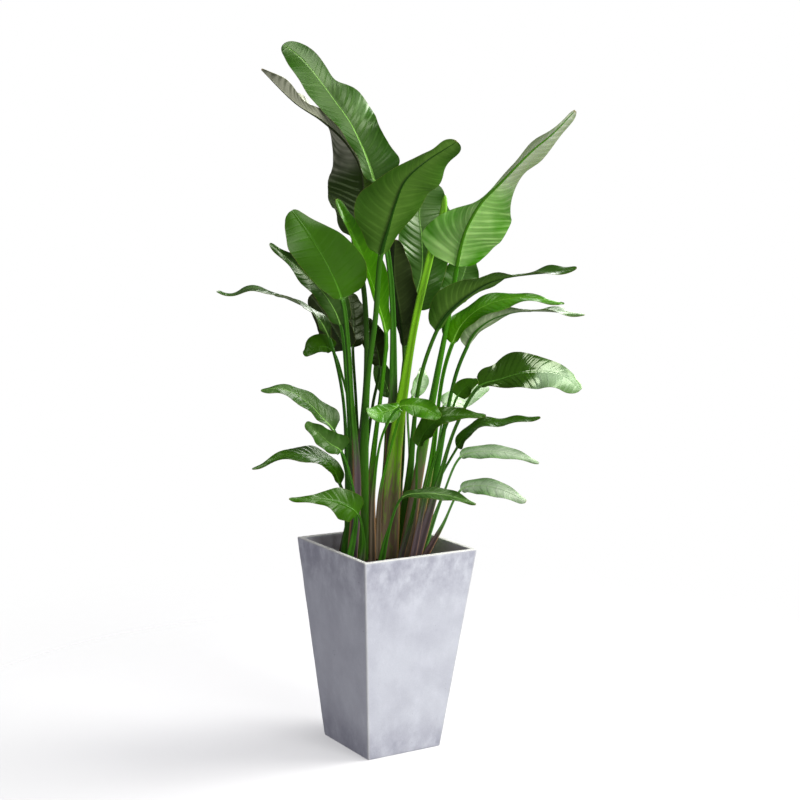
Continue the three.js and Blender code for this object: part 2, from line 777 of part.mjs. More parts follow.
// One leaf, from its foot in the soil to the tip of its blade.
function makeLeaf(leaf) {
  const foot = new THREE.Vector3(leaf.foot[0], leaf.foot[1], COLLAR_HEIGHT);
  const knots = [foot, ...leaf.stem.map(toVector), ...leaf.rib.map(toVector)];
  const curve = new THREE.CatmullRomCurve3(knots).getPoints(SAMPLES * (knots.length - 1));
  const base = SAMPLES * (1 + leaf.stem.length);
  const stalk = curve.slice(0, base + 1);
  const rib = curve.slice(base);
  const upright = stalkFrame(leaf, new THREE.Vector3(0, 0, 1));
  const sheath = stalkSection(...leaf.sheath);
  const rings = [place(sheath, foot.clone().setZ(ROOT_HEIGHT), upright), place(sheath, foot, upright)];
  for (let i = 1; i <= STALK_RINGS; i++) {
    const share = i / STALK_RINGS;
    const { centre, along } = pointAt(stalk, share);
    const slim = smooth(share / SHEATH_SHARE);
    const width = THREE.MathUtils.lerp(leaf.sheath[0], leaf.petiole, slim);
    const depth = THREE.MathUtils.lerp(leaf.sheath[1], leaf.petiole, slim);
    rings.push(place(stalkSection(width, depth), centre, stalkFrame(leaf, along)));
  }
  const steps = leaf.rings;
  for (let i = 1; i <= steps; i++) {
    const s = leaf.rolled ? i / (steps + 0.5) : (1 - Math.cos((Math.PI * i) / (steps + 0.5))) / 2;
    const { centre, along } = pointAt(rib, s);
    const frame = makeFrame(along, faceAt(leaf, s));
    const girth = leaf.petiole * Math.sqrt(1 - s ** 4);
    rings.push(place(leaf.rolled ? stalkSection(girth, girth) : bladeSection(leaf, s), centre, frame));
  }
  return loft(rings, (j) => j >= 5 && j <= 8);
}

function makeMesh(name, geometry, color, roughness) {
  const mesh = new THREE.Mesh(geometry, new THREE.MeshStandardMaterial({ color, roughness, metalness: 0 }));
  mesh.name = name;
  return mesh;
}

const root = new THREE.Group();
root.add(makeMesh("pot", makePot(), CONCRETE_GREY, CONCRETE_ROUGHNESS));
root.add(makeMesh("soil", makeSoil(), SOIL_BROWN, SOIL_ROUGHNESS));

const plant = new THREE.Group();
plant.rotation.z = radians(PLANT_TURN);
for (const [name, leaf] of Object.entries(LEAVES))
  plant.add(makeMesh(name, makeLeaf(leaf), leaf.rolled ? YOUNG_GREEN : LEAF_GREEN, LEAF_ROUGHNESS));
root.add(plant);

export default root;
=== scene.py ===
"""A potted bird of paradise: a tapered square planter of fibre concrete, potting soil, and a clump of
long-stalked, paddle-shaped leaves round one young leaf that is still rolled up.

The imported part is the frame. Lengths are in millimetres while a shape is worked out and in metres in
its mesh. The plant's own view frame has x across, y away from the viewer and z up."""

import logging
import math
from dataclasses import dataclass, field
from enum import Enum
from functools import partial

import bpy
import numpy as np
from mathutils import Matrix, Vector


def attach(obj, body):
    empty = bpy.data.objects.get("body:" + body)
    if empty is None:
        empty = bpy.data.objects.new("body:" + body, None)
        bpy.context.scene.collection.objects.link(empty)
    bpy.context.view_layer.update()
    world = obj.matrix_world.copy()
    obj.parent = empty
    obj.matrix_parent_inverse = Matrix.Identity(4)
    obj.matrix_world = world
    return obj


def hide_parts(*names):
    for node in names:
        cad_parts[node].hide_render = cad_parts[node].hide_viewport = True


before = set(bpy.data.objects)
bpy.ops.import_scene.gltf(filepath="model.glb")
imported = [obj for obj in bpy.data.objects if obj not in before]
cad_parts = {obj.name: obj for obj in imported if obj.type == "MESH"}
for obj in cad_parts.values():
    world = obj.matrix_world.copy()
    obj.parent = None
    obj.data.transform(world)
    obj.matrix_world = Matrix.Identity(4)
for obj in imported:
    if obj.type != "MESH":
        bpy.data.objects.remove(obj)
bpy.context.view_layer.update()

log = logging.getLogger("bird_of_paradise")

MM = 0.001
# How far the plant is turned in its planter, and the camera with it.
PLANT_TURN = math.radians(-33.2)
# Where the stalks rise from the soil, and how far up they stand upright.
SOIL_LINE, COLLAR_HEIGHT = 430.0, 448.0
BLADE_THICKNESS = 0.9
# The shares of the rib along which a blade's base and its tip are rounded.
BASE_ROUND, TIP_ROUND = 0.1, 0.12
# The share of a stalk along which its sheath narrows.
SHEATH_SHARE = 0.72
# The depth of a stalk's channel, as a share of its half depth, and how much deeper it is in a sheath.
CHANNEL, SHEATH_CHANNEL = 0.45, 0.35
# The spacing along the rib of the folds between a blade's veins, and how far a vein has run on towards
# the tip when it meets the margin.
VEIN_SPACING, VEIN_LEAD = 19.0, 0.34
# The length and height of a blade's buckles.
BUCKLE_LENGTH, BUCKLE_HEIGHT = 130.0, 1.6
# A leaf's grid: curve points to a stretch, millimetres from ring to ring, and how even a blade's rings
# are, which otherwise stand closer at both ends.
CURVE_SAMPLES, STALK_STEP, BLADE_STEP, EVEN_RINGS = 24, 9.0, 2.2, 0.65
# Columns on each half of a face: those on the rib, all of them, and all on a blade broader than this.
RIB_COLUMNS, COLUMNS, BROAD_COLUMNS, BROAD_BLADE = 4, 11, 15, 75
# The values that a leaf's finish reads from its vertices, and what they are where nothing else is said:
# millimetres along the rib where the vein leaves it, 1 on the upper side, the share of the way to the
# margin, the share of the rib's length, 1 on the rib, millimetres to the margin, -1 to 1 across the
# stalk, and how dusky the sheath is.
LEAF_VALUES = {"vein_mm": 0.0, "upper": 0.0, "wing": 0.0, "along": 0.0, "rib": 1.0, "margin_mm": 50.0,
               "around": 0.0, "dusk": 0.0}
# The attribute that a node's mode is set by.
MODES = {"Math": "operation", "VectorMath": "operation", "MapRange": "interpolation_type",
         "Mix": "data_type"}


def linear(hex_colour: str) -> tuple:
    """An sRGB hex colour as the linear colour that shaders take.

    Args:
        hex_colour: six hex digits.

    Returns:
        Red, green, blue and an alpha of 1, linear.
    """
    srgb = np.array([int(hex_colour[k:k + 2], 16) / 255 for k in (0, 2, 4)])
    rgb = np.where(srgb <= 0.04045, srgb / 12.92, ((srgb + 0.055) / 1.055) ** 2.4)
    return (*(float(c) for c in rgb), 1.0)


def smoothstep(low: float, high: float, x: np.ndarray) -> np.ndarray:
    """0 up to low, 1 from high, and a smooth step between them."""
    share = np.clip((x - low) / (high - low), 0, 1)
    return share * share * (3 - 2 * share)


def unit(vectors: np.ndarray) -> np.ndarray:
    """The vectors along the last axis, made one long."""
    return vectors / np.linalg.norm(vectors, axis=-1, keepdims=True)


def catmull_rom(knots: np.ndarray, samples: int) -> np.ndarray:
    """A smooth curve through the knots. Each stretch is a cubic whose end slopes come from the knots
    round it, weighed by the root of their distances, so that it never loops.

    Args:
        knots: points, one a row.
        samples: points worked out for each stretch.

    Returns:
        Points on the curve, samples a stretch and the last knot.
    """
    ends = np.vstack([2 * knots[0] - knots[1], knots, 2 * knots[-1] - knots[-2]])
    gaps = np.sqrt(np.maximum(np.linalg.norm(np.diff(ends, axis=0), axis=1), 1e-6))[:, None]
    a, b, c, d = ends[:-3], ends[1:-2], ends[2:-1], ends[3:]
    before, here, after = gaps[:-2], gaps[1:-1], gaps[2:]
    start = ((b - a) / before - (c - a) / (before + here) + (c - b) / here) * here
    end = ((c - b) / here - (d - b) / (here + after) + (d - c) / after) * here
    u = np.arange(samples)[None, :, None] / samples
    b, c, start, end = (v[:, None] for v in (b, c, start, end))
    curve = (b + start * u + (3 * (c - b) - 2 * start - end) * u ** 2
             + (2 * (b - c) + start + end) * u ** 3)
    return np.vstack([curve.reshape(-1, 3), knots[-1:]])


def along_line(line: np.ndarray, share: np.ndarray) -> tuple:
    """The point and the way along at a share of a line's length.

    Args:
        line: points, one a row.
        share: shares from 0 to 1, in an array of any shape.

    Returns:
        The points, the unit ways along, and the line's length.
    """
    steps = np.linalg.norm(np.diff(line, axis=0), axis=1)
    reached = np.concatenate([[0], np.cumsum(steps)])
    way = unit(np.gradient(line, axis=0))
    at = np.clip(share, 0, 1) * reached[-1]
    point, tangent = (np.stack([np.interp(at, reached, column) for column in rows.T], -1)
                      for rows in (line, way))
    return point, unit(tangent), float(reached[-1])


def stations(values: tuple | float, s: np.ndarray) -> np.ndarray:
    """A value at a share s of the way, from values at the middles of equal stretches.

    Args:
        values: one number, or numbers at even stations, joined by a smooth cubic.
        s: shares from 0 to 1.

    Returns:
        The value at each share.
    """
    v = np.atleast_1d(np.asarray(values, float))
    if len(v) == 1:
        return np.full_like(s, v[0])
    x = np.clip(s * len(v) - 0.5, 0, len(v) - 1)
    i = np.minimum(x.astype(int), len(v) - 2)
    u = x - i
    a, b, c, d = (v[np.clip(i + k, 0, len(v) - 1)] for k in (-1, 0, 1, 2))
    return b + 0.5 * u * (c - a + u * (2 * a - 5 * b + 4 * c - d + u * (3 * (b - c) + d - a)))


def waves(points: np.ndarray, length: float, seed: int, count: int = 7) -> np.ndarray:
    """Smooth unevenness: a sum of plane waves in seeded directions, about one length long.

    Args:
        points: places, with three numbers on the last axis.
        length: the wave length in the points' unit.
        seed: the seed of the directions and phases.
        count: how many waves are added.

    Returns:
        A height for each place, mostly between -1 and 1.
    """
    draw = np.random.default_rng(seed)
    ways = unit(draw.normal(size=(count, 3))) * draw.uniform(0.6, 1.6, (count, 1))
    phases = draw.uniform(0, 2 * np.pi, count)
    return np.sin(points @ ways.T * (2 * np.pi / length) + phases).sum(-1) / math.sqrt(count)


def tube_faces(rings: int, size: int) -> tuple:
    """The faces of a closed tube: quads between its rings, and a fan to a point at each end.

    Args:
        rings: the number of rings, which turn about the way from the first to the last.
        size: points in a ring. The two end points come after all the rings.

    Returns:
        The quads and the triangles, as two arrays.
    """
    i, j = np.meshgrid(np.arange(rings - 1), np.arange(size), indexing="ij")
    a, b = i * size + j, i * size + (j + 1) % size
    quads = np.stack([a, b, b + size, a + size], -1).reshape(-1, 4)
    k = np.arange(size)
    n = (k + 1) % size
    last = (rings - 1) * size
    first_point, last_point = np.full(size, rings * size), np.full(size, rings * size + 1)
    fans = np.vstack([np.stack([n, k, first_point], 1), np.stack([last + k, last + n, last_point], 1)])
    return quads, fans


def make_object(name: str, points: np.ndarray, quads: np.ndarray, triangles: np.ndarray,
                material: bpy.types.Material, values: dict | None = None) -> bpy.types.Object:
    """A mesh object at the origin, shaded smooth.

    Args:
        name: the piece's name.
        points: its vertices in metres, in the part's frame.
        quads: its faces of four, as rows of vertex numbers.
        triangles: its faces of three.
        material: its finish.
        values: numbers stored at the vertices, by name, that the finish reads.

    Returns:
        The object, linked to the scene.
    """
    mesh = bpy.data.meshes.new(name)
    loops = np.concatenate([quads.ravel(), triangles.ravel()]).astype(np.int32)
    sizes = np.repeat([4, 3], [len(quads), len(triangles)])
    starts = np.concatenate([[0], np.cumsum(sizes)[:-1]]).astype(np.int32)
    mesh.vertices.add(len(points))
    mesh.vertices.foreach_set("co", points.astype(np.float32).ravel())
    mesh.loops.add(len(loops))
    mesh.loops.foreach_set("vertex_index", loops)
    mesh.polygons.add(len(sizes))
    mesh.polygons.foreach_set("loop_start", starts)
    mesh.polygons.foreach_set("use_smooth", np.ones(len(sizes), bool))
    mesh.update(calc_edges=True)
    mesh.validate()
    for key, column in (values or {}).items():
        attribute = mesh.attributes.new(key, "FLOAT", "POINT")
        attribute.data.foreach_set("value", np.asarray(column, np.float32).ravel())
    mesh.materials.append(material)
    piece = bpy.data.objects.new(name, mesh)
    bpy.context.scene.collection.objects.link(piece)
    return piece


def crease(piece: bpy.types.Object, sharp: np.ndarray) -> None:
    """Marks the edges between marked vertices as sharp, so that a thin rim doesn't shade as a bulge.

    Args:
        piece: the mesh object.
        sharp: a group number for each vertex, 0 for none. An edge within one group becomes sharp.
    """
    mesh = piece.data
    ends = np.zeros(len(mesh.edges) * 2, np.int32)
    mesh.edges.foreach_get("vertices", ends)
    groups = sharp[ends.reshape(-1, 2)]
    hard = mesh.attributes.new("sharp_edge", "BOOLEAN", "EDGE")
    hard.data.foreach_set("value", (groups[:, 0] > 0) & (groups[:, 0] == groups[:, 1]))


def add(tree: bpy.types.NodeTree, kind: str, *inputs: object, **settings: object) -> bpy.types.Node:
    """Adds a node with its settings and its links.

    Args:
        tree: the node tree.
        kind: the node's type without ShaderNode and, after a space, its mode.
        inputs: what its visible sockets get, in their order: a node, an output or a plain value. A Map
            Range takes a value, the two ends that it comes from and the two that it goes to.
        settings: the same by a socket's name, with _ for a space, and plain values by attribute name.

    Returns:
        The node.
    """
    name, _, mode = kind.partition(" ")
    node = tree.nodes.new(f"ShaderNode{name}")
    if mode:
        setattr(node, MODES[name], mode)
    visible = [socket for socket in node.inputs if socket.enabled]
    named = {socket.name.replace(" ", "_"): socket for socket in visible}
    fed = [*zip(visible, inputs), *((named[key], settings[key]) for key in settings if key in named)]
    for key in settings.keys() - named.keys():
        setattr(node, key, settings[key])
    for socket, source in fed:
        if isinstance(source, bpy.types.Node):
            source = next(output for output in source.outputs if output.enabled)
        if isinstance(source, bpy.types.NodeSocket):
            tree.links.new(source, socket)
        else:
            socket.default_value = source
    return node


def new_material(name: str) -> tuple:
    """An empty node material.

    Args:
        name: its name.

    Returns:
        The material, and the add function for its node tree.
    """
    material = bpy.data.materials.new(name)
    material.use_nodes = True
    material.node_tree.nodes.clear()
    return material, partial(add, material.node_tree)


class Tone(Enum):
    """How deep a leaf's green is, from its age. Some paint light and shade: DARK the shade on leaves
    that stand in shade, PALE glare and glow on small leaves, LIT a glow through part of the blade and
    glare on its tail, and GLOSSY glare on its outer part.
    """

    DARK = "dark"
    DEEP = "deep"
    MATURE = "mature"
    FRESH = "fresh"
    AGED = "aged"
    PALE = "pale"
    YOUNG = "young"
    LIT = "lit"
    GLOSSY = "glossy"


@dataclass(frozen=True)
class LeafFinish:
    """A living leaf: a waxy cuticle, smooth enough for broad soft glare, over green tissue. Pale side
    veins bend from the rib to the margin, with fainter streaks between them. The underside is paler
    and duller, and the stalk turns from green to a dusky purple, with dry pinkish edges, where it
    rises from the soil; there the purple is also painted darker as the shade among the crowded
    stalks. Some finishes paint shade, glare and glow into a blade's colours.

    Attributes:
        tone: which green it is.
        upper, under: each side near the margin.
        upper_light, under_light: each side on its veins and near the rib.
        rib: the rib's pale line on the upper side.
        keel: the rib's keel below.
        stalk: the stalk in its upper part.
        foot: the sheath at the soil, painted darker as the shade among the stalks.
        beyond, beyond_light: the outer part of a blade in other colours, if it has them: painted glare on
        the lit and the glossy blade, partly painted sheen on the aged one.
        turn: the shares of the rib between which it turns.
        rib_fade: how much the pale line fades towards the tip.
        veining, vein_power: how pale and how narrow the side veins are.
        gloss, under_roughness, stalk_roughness: the roughness above, below and on the stalk.
        shine, sheen: how strong the wax's reflections are, and their tint.
        glow: how much light spreads within the blade.
        margin, dry: the line along the margin, and the dry tip and sheath edges.
        relief_mm: how far the veins and strands stand proud.
    """

    tone: Tone
    upper: str
    upper_light: str
    under: str
    under_light: str
    rib: str
    keel: str
    stalk: str
    foot: str
    beyond: str = ""
    beyond_light: str = ""
    turn: tuple = ()
    rib_fade: float = 0.3
    veining: float = 0.35
    vein_power: float = 8.0
    gloss: float = 0.24
    under_roughness: float = 0.5
    stalk_roughness: float = 0.42
    shine: float = 0.4
    sheen: str = "e6f2d0"
    glow: float = 0.0
    margin: str = "6a6a2c"
    dry: str = "a0764c"
    relief_mm: float = 0.35

    def build(self) -> bpy.types.Material:
        """Makes the material. It reads where a point lies on the leaf from the mesh's own values.

        Returns:
            The material.
        """
        material, node = new_material(f"waxy_leaf_{self.tone.value}")
        vein_mm, upper, wing, along, rib, margin_mm, around, dusk = (
            node("Attribute", attribute_name=key).outputs["Fac"] for key in LEAF_VALUES)
        place = node("TexCoord").outputs["Object"]
        patches = node("TexNoise", place, Scale=11.0, Detail=3.0)
        is_blade = node("MapRange", wing, 0, 0.05)

        # The side veins: narrow crests of a cosine across the vein coordinate, at the mesh's own folds.
        turned = node("Math COSINE", node("Math MULTIPLY", vein_mm, 2 * math.pi / VEIN_SPACING))
        crests = node("Math POWER", node("Math MULTIPLY_ADD", turned, 0.5, 0.5), self.vein_power)
        veins = node("Math MULTIPLY", crests, node("MapRange", patches, 0.35, 0.65))

        # Streaks between them, 5 mm apart and drawn out along the veins, another set on each side.
        strip = node("CombineXYZ", node("Math MULTIPLY", vein_mm, 1 / 5),
                     node("Math MULTIPLY", wing, 1.6), node("Math MULTIPLY", upper, 3.0))
        streaks = node("TexNoise", strip, Scale=1.0, Detail=1.0)

        # Lighter near the rib and in patches, then along the veins and streaks.
        near_rib = node("MapRange SMOOTHSTEP", wing, 0.95, 0.1, 0, 0.5)
        ground = node("Math ADD", near_rib, node("MapRange", patches, 0.42, 0.7, 0, 0.45))
        veined = node("Math MULTIPLY_ADD", veins, self.veining, ground)
        lift = node("Math MULTIPLY_ADD", node("Math SUBTRACT", streaks, 0.5), 0.5, veined, use_clamp=True)
        above = node("Mix RGBA", lift, linear(self.upper), linear(self.upper_light))
        below = node("Mix RGBA", lift, linear(self.under), linear(self.under_light))
        # The outer part: painted glare on the lit and glossy blades, partly painted sheen on the aged
        # one.
        if self.beyond:
            patchy = node("Math MULTIPLY_ADD", patches, 0.15, along)
            outer = node("MapRange SMOOTHSTEP", patchy, *self.turn)
            farther = node("Mix RGBA", lift, linear(self.beyond), linear(self.beyond_light))
            above, below = (node("Mix RGBA", outer, side, farther) for side in (above, below))

        # The rib: a pale line above that fades towards the tip, and a broader keel below.
        fade = node("Math MULTIPLY_ADD", along, -self.rib_fade, 1.0)
        line = node("Math MULTIPLY", node("MapRange SMOOTHSTEP", rib, 0.55, 0.95), fade)
        above = node("Mix RGBA", line, above, linear(self.rib))
        below = node("Mix RGBA", node("MapRange SMOOTHSTEP", rib, 0.35, 0.7), below, linear(self.keel))
        blade = node("Mix RGBA", upper, below, above)

        # A thin dry line along the margin, wider where the patches are strong, and a dry tip.
        edge = node("Math MULTIPLY_ADD", patches, 2.0, margin_mm)
        far = node("Math MULTIPLY_ADD", patches, 0.06, along)
        blade = node("Mix RGBA", node("MapRange", edge, 2.0, 1.1, 0, 0.6), blade, linear(self.margin))
        blade = node("Mix RGBA", node("MapRange SMOOTHSTEP", far, 1.02, 1.04, 0, 0.6), blade,
                     linear(self.dry))

        # The stalk: strands that change every 50 mm along it, dusky at the soil, with dry sheath edges.
        # The foot colour there is also painted darker as the shade among the stalks.
        strand = node("CombineXYZ", node("Math MULTIPLY", around, 3.5),
                      node("Math MULTIPLY", vein_mm, 1 / 50), upper)
        grain = node("TexNoise", strand, Scale=1.6, Detail=4.0)
        dusky = node("MapRange SMOOTHSTEP", node("Math MULTIPLY_ADD", grain, -0.7, dusk), 0.1, 0.5)
        at_edge = node("MapRange", node("Math ABSOLUTE", around), 0.8, 1.0)
        stalk = node("Mix RGBA", grain, linear(self.stalk), linear(self.upper))
        stalk = node("Mix RGBA", dusky, stalk, linear(self.foot))
        stalk = node("Mix RGBA", node("Math MULTIPLY", at_edge, dusky), stalk, linear(self.dry))

        # Duller below than above, with the wax rubbed uneven. The veins stand a little proud.
        sides = node("Mix", upper, self.under_roughness, self.gloss)
        whole = node("Mix", is_blade, self.stalk_roughness, sides)
        ridges = node("Math MULTIPLY", node("Math MULTIPLY_ADD", crests, 1.4, streaks), is_blade)
        bump = node("Bump", Strength=0.4, Distance=self.relief_mm * MM,
                    Height=node("Math MULTIPLY_ADD", grain, 0.25, ridges))
        node("OutputMaterial", node(
            "BsdfPrincipled", node("Mix RGBA", is_blade, stalk, blade), IOR=1.45, Normal=bump,
            Roughness=node("Math MULTIPLY_ADD", patches, 0.12, whole), Specular_IOR_Level=self.shine,
            Specular_Tint=linear(self.sheen), Subsurface_Weight=self.glow, Subsurface_Scale=0.0022,
            Subsurface_Radius=(0.55, 1.0, 0.1)))
        return material


def plant_to_part(points: np.ndarray) -> np.ndarray:
    """Points of the plant's view frame, in millimetres, as points of the part in metres."""
    c, s = math.cos(PLANT_TURN), math.sin(PLANT_TURN)
    return points @ np.array([[c, -s, 0], [s, c, 0], [0, 0, 1]]).T * MM


def leaf_grid(points: np.ndarray, **values: np.ndarray) -> dict:
    """A stretch of a leaf's skin: its points, a ring a row, and LEAF_VALUES at each of them."""
    return {"points": points} | {key: np.broadcast_to(values.get(key, plain), points.shape[:2])
                                 for key, plain in LEAF_VALUES.items()}


@dataclass(frozen=True)
class Leaf:
    """One leaf, from its sheath in the soil to the tip of its blade, as seen from the plant's front.

    Attributes:
        name: the node that it replaces.
        tone: its green.
        foot: [across, away] where it leaves the soil.
        sheath: the foot's width and depth.
        petiole: the stalk's thickness above the sheath.
        stem: points along the stalk.
        rib: points along the rib, from the blade's base to its tip.
        faces: directions that the upper side looks in, from base to tip.
        minus, plus: half-widths at even stations on the two sides of the rib. A blade whose sides are
            alike has only minus.
        fold: the angles by which the two sides rise from the rib, each one number or stations.
        curl: the angles by which they bend on towards the margin.
        wave: the margin's wave height, number of waves, and lag between the sides.
        pleat: the heights of the folds between the side veins, on the two sides.
        slot: the record's material slot; it is not used.
    """

    name: str
    tone: Tone
    foot: tuple
    sheath: tuple = (16, 10)
    petiole: float = 5.5
    stem: tuple = ()
    rib: tuple = ()
    faces: tuple = ()
    minus: tuple = ()
    plus: tuple = ()
    fold: tuple = (10, 10)
    curl: tuple = (0, 0)
    wave: tuple = (3, 2, 0)
    pleat: tuple = (0.7, 0.7)
    slot: str = "leaf"

    @property
    def seed(self) -> int:
        """A number of its own for this leaf's unevenness."""
        return sum(ord(letter) * (k + 1) for k, letter in enumerate(self.name))

    @property
    def age(self) -> float:
        """How far the sheath has turned dusky: 0.2 to 1.3, by the seed."""
        return 0.2 + 1.1 * (self.seed * 0.618 % 1)

    @property
    def halves(self) -> tuple:
        """The half-widths on the two sides, which are the same where plus isn't given."""
        return self.minus, self.plus or self.minus

    @property
    def columns(self) -> int:
        """Grid columns on each half of a face: more on a broad blade."""
        return BROAD_COLUMNS if sum(max(side) for side in self.halves) > BROAD_BLADE else COLUMNS

    def lines(self) -> tuple:
        """The stalk's and the rib's centre lines: one smooth curve through the knots, cut in two.

        Returns:
            The two lines, which share a point.
        """
        foot = (*self.foot, COLLAR_HEIGHT)
        curve = catmull_rom(np.array([foot, *self.stem, *self.rib], float), CURVE_SAMPLES)
        base = CURVE_SAMPLES * (1 + len(self.stem))
        return curve[:base + 1], curve[base:]

    def axes(self, along: np.ndarray, s: np.ndarray) -> tuple:
        """The blade's own directions. Side is square to the way along and to the direction that the
        upper side looks in, which turns evenly from one given direction to the next, and up is square
        to both.

        Args:
            along: unit ways along the rib.
            s: shares of the rib's length.

        Returns:
            The unit vectors side and up.
        """
        looks = unit(np.array(self.faces, float))
        stops = np.linspace(0, 1, len(looks)) if len(looks) > 1 else np.array([0.0])
        face = np.stack([np.interp(s, stops, looks[:, k]) for k in range(3)], -1)
        side = unit(np.cross(along, face))
        return side, np.cross(side, along)

    def keel(self, s: np.ndarray) -> np.ndarray:
        """The rib's thickness, which tapers from the stalk's to a fine point."""
        return self.petiole * (1 - 0.84 * s ** 0.75)

    def by_side(self, sides: tuple, s: np.ndarray, on_plus: np.ndarray) -> np.ndarray:
        """A value at each grid point, from its stations on the minus side and on the plus side."""
        return np.where(on_plus, stations(sides[1], s), stations(sides[0], s))

    def stalk_section(self, u: np.ndarray, upper: np.ndarray, width: np.ndarray, depth: np.ndarray,
                      channel: np.ndarray | float = CHANNEL) -> tuple:
        """A stalk's section. Across it goes as the sine of u, its back as the cosine, and its front as
        a flatter cosine less a rounded channel down the middle.

        Args:
            u: from -1 to 1 across.
            upper: 1 on the front, 0 on the back.
            width: the section's width.
            depth: its depth.
            channel: the channel's depth, as a share of the half depth.

        Returns:
            Distances across and up.
        """
        turn = np.maximum(np.cos(np.pi * u / 2), 0)
        front = 0.15 + 0.93 * turn ** 0.6 - channel * np.exp(-(u / 0.3) ** 2)
        back = 0.15 - 1.15 * turn ** 0.8
        return width / 2 * np.sin(np.pi * u / 2), depth / 2 * np.where(upper > 0, front, back)

    def blade_section(self, s: np.ndarray, u: np.ndarray, upper: np.ndarray, vein: np.ndarray) -> dict:
        """The blade's section. A side leaves the rib at its fold angle, bends on by its curl, waves
        with the square of the distance from the rib, and ripples between the veins. The rib is a keel
        with an elliptic back and a shallow channel in front.

        Args:
            s: shares of the rib's length, at each grid point.
            u: from -1 to 1 across, evenly by column.
            upper: 1 on the upper side, 0 on the underside.
            vein: millimetres along the rib where the vein through the point leaves it.

        Returns:
            Distances across and up, and the values that the finish reads.
        """
        low, high = np.clip(1 - s / BASE_ROUND, 0, 1), np.clip((s - 1 + TIP_ROUND) / TIP_ROUND, 0, 1)
        rounding = np.sqrt(1 - low ** 2) * np.sqrt(1 - high ** 2)
        keel = self.keel(s)
        rib = keel * (0.5 - 0.16 * smoothstep(0, 0.3, s))
        sign, reach = np.sign(u), np.abs(u)
        on_plus = sign > 0
        half = np.maximum(self.by_side(self.halves, s, on_plus) * rounding, rib)
        inner = np.clip(reach * self.columns / RIB_COLUMNS, 0, 1)
        outer = np.clip((reach * self.columns - RIB_COLUMNS) / (self.columns - RIB_COLUMNS), 0, 1)
        width = rib * inner + (half - rib) * outer
        share = width / half

        # The side's rise and bend, the margin's wave, and the folds between the veins.
        fold, curl = self.by_side(self.fold, s, on_plus), self.by_side(self.curl, s, on_plus)
        angle = np.radians((fold + curl * share / 2) * rounding)
        height, count, lag = self.wave
        wave = height * share ** 2 * rounding * np.sin(2 * np.pi * (count * s + lag * sign))
        ripple_window = outer ** 0.5 * (1 - 0.75 * outer ** 3) * rounding
        turn = 2 * np.pi * vein / VEIN_SPACING
        pleat = np.where(on_plus, self.pleat[1], self.pleat[0]) * (1 - 0.85 * smoothstep(0.4, 0.85, s))
        ripple = pleat * ripple_window * (np.sin(turn) + 0.5 * np.sin(2 * turn))

        # The skin's two faces, thicker on the rib.
        from_rib = width / rib
        spread = np.clip(1 - from_rib ** 2, 0, 1) ** 0.6
        face = BLADE_THICKNESS / 2 + 0.3 * spread - 0.16 * keel * (1 - s) * np.exp(-(from_rib / 0.5) ** 2)
        back = -BLADE_THICKNESS / 2 - 0.62 * keel * spread
        skin = np.where(upper > 0, face, back)
        across = sign * (width * np.cos(angle) - skin * np.sin(angle))
        up = width * np.sin(angle) + wave + ripple + skin * np.cos(angle)
        return {"across": across, "up": up, "share": share, "half": half, "width": width, "rib": rib,
                "outer": outer, "keel": keel}

    def ring_values(self) -> tuple:
        """Where the grid's points stand round the section.

        Returns:
            u from -1 to 1 and back again, and 1 on the upper side, 0 on the underside.
        """
        n = self.columns
        across = np.arange(-n, n + 1) / n
        return np.concatenate([across, across[::-1]]), np.repeat([1.0, 0.0], 2 * n + 1)

    def stalk_grid(self, stalk: np.ndarray) -> dict:
        """The stalk's rings, from under the soil to the blade's base.

        Args:
            stalk: the stalk's centre line.

        Returns:
            The grid's points and the values that the finish reads.
        """
        length = float(np.linalg.norm(np.diff(stalk, axis=0), axis=1).sum())
        share = np.concatenate([[-1.0], np.linspace(0, 1, int(length / STALK_STEP) + 1)])
        centre, along, _ = along_line(stalk, share)
        centre[0] = (*self.foot, SOIL_LINE)
        along[:2] = (0, 0, 1)
        blend = smoothstep(0, 0.06, share)[:, None]
        along = unit(np.array([0, 0, 1.0]) * (1 - blend) + along * blend)
        side, up = self.axes(along, np.zeros(len(share)))
        share = share[:, None]
        slim = smoothstep(0, SHEATH_SHARE, np.maximum(share, 0))
        width, depth = (foot + (self.petiole - foot) * slim for foot in self.sheath)
        u, upper = self.ring_values()
        x, h = self.stalk_section(u, upper, width, depth, CHANNEL + SHEATH_CHANNEL * (1 - slim))
        return leaf_grid(centre[:, None] + x[..., None] * side[:, None] + h[..., None] * up[:, None],
                         vein_mm=share * length - length, upper=upper, along=np.maximum(share, 0) - 1,
                         around=np.sin(np.pi * u / 2),
                         dusk=self.age * (1 - smoothstep(0.05, 0.85, share)))

    def blade_grid(self, rib: np.ndarray) -> dict:
        """The blade's rings. A ring follows the veins: at the share c of the way to the margin it lies
        at the rib share s to the power 1 / (1 + lead c^1.5), so that it bends on towards the tip. Near
        the base, where the blade is narrower than the rib, the section is still the stalk's.

        Args:
            rib: the rib's centre line.

        Returns:
            The grid's points and the values that the finish reads.
        """
        length = along_line(rib, np.zeros(1))[2]
        rings = int(length / BLADE_STEP)
        even = (np.arange(rings)[:, None] + 1) / (rings + 0.5)
        start = EVEN_RINGS * even + (1 - EVEN_RINGS) * (1 - np.cos(np.pi * even)) / 2
        u, upper = self.ring_values()
        reach = np.clip((np.abs(u) * self.columns - RIB_COLUMNS) / (self.columns - RIB_COLUMNS), 0, 1)
        s = start ** (1 / (1 + VEIN_LEAD * reach ** 1.5))
        centre, along, _ = along_line(rib, s)
        side, up = self.axes(along, s)

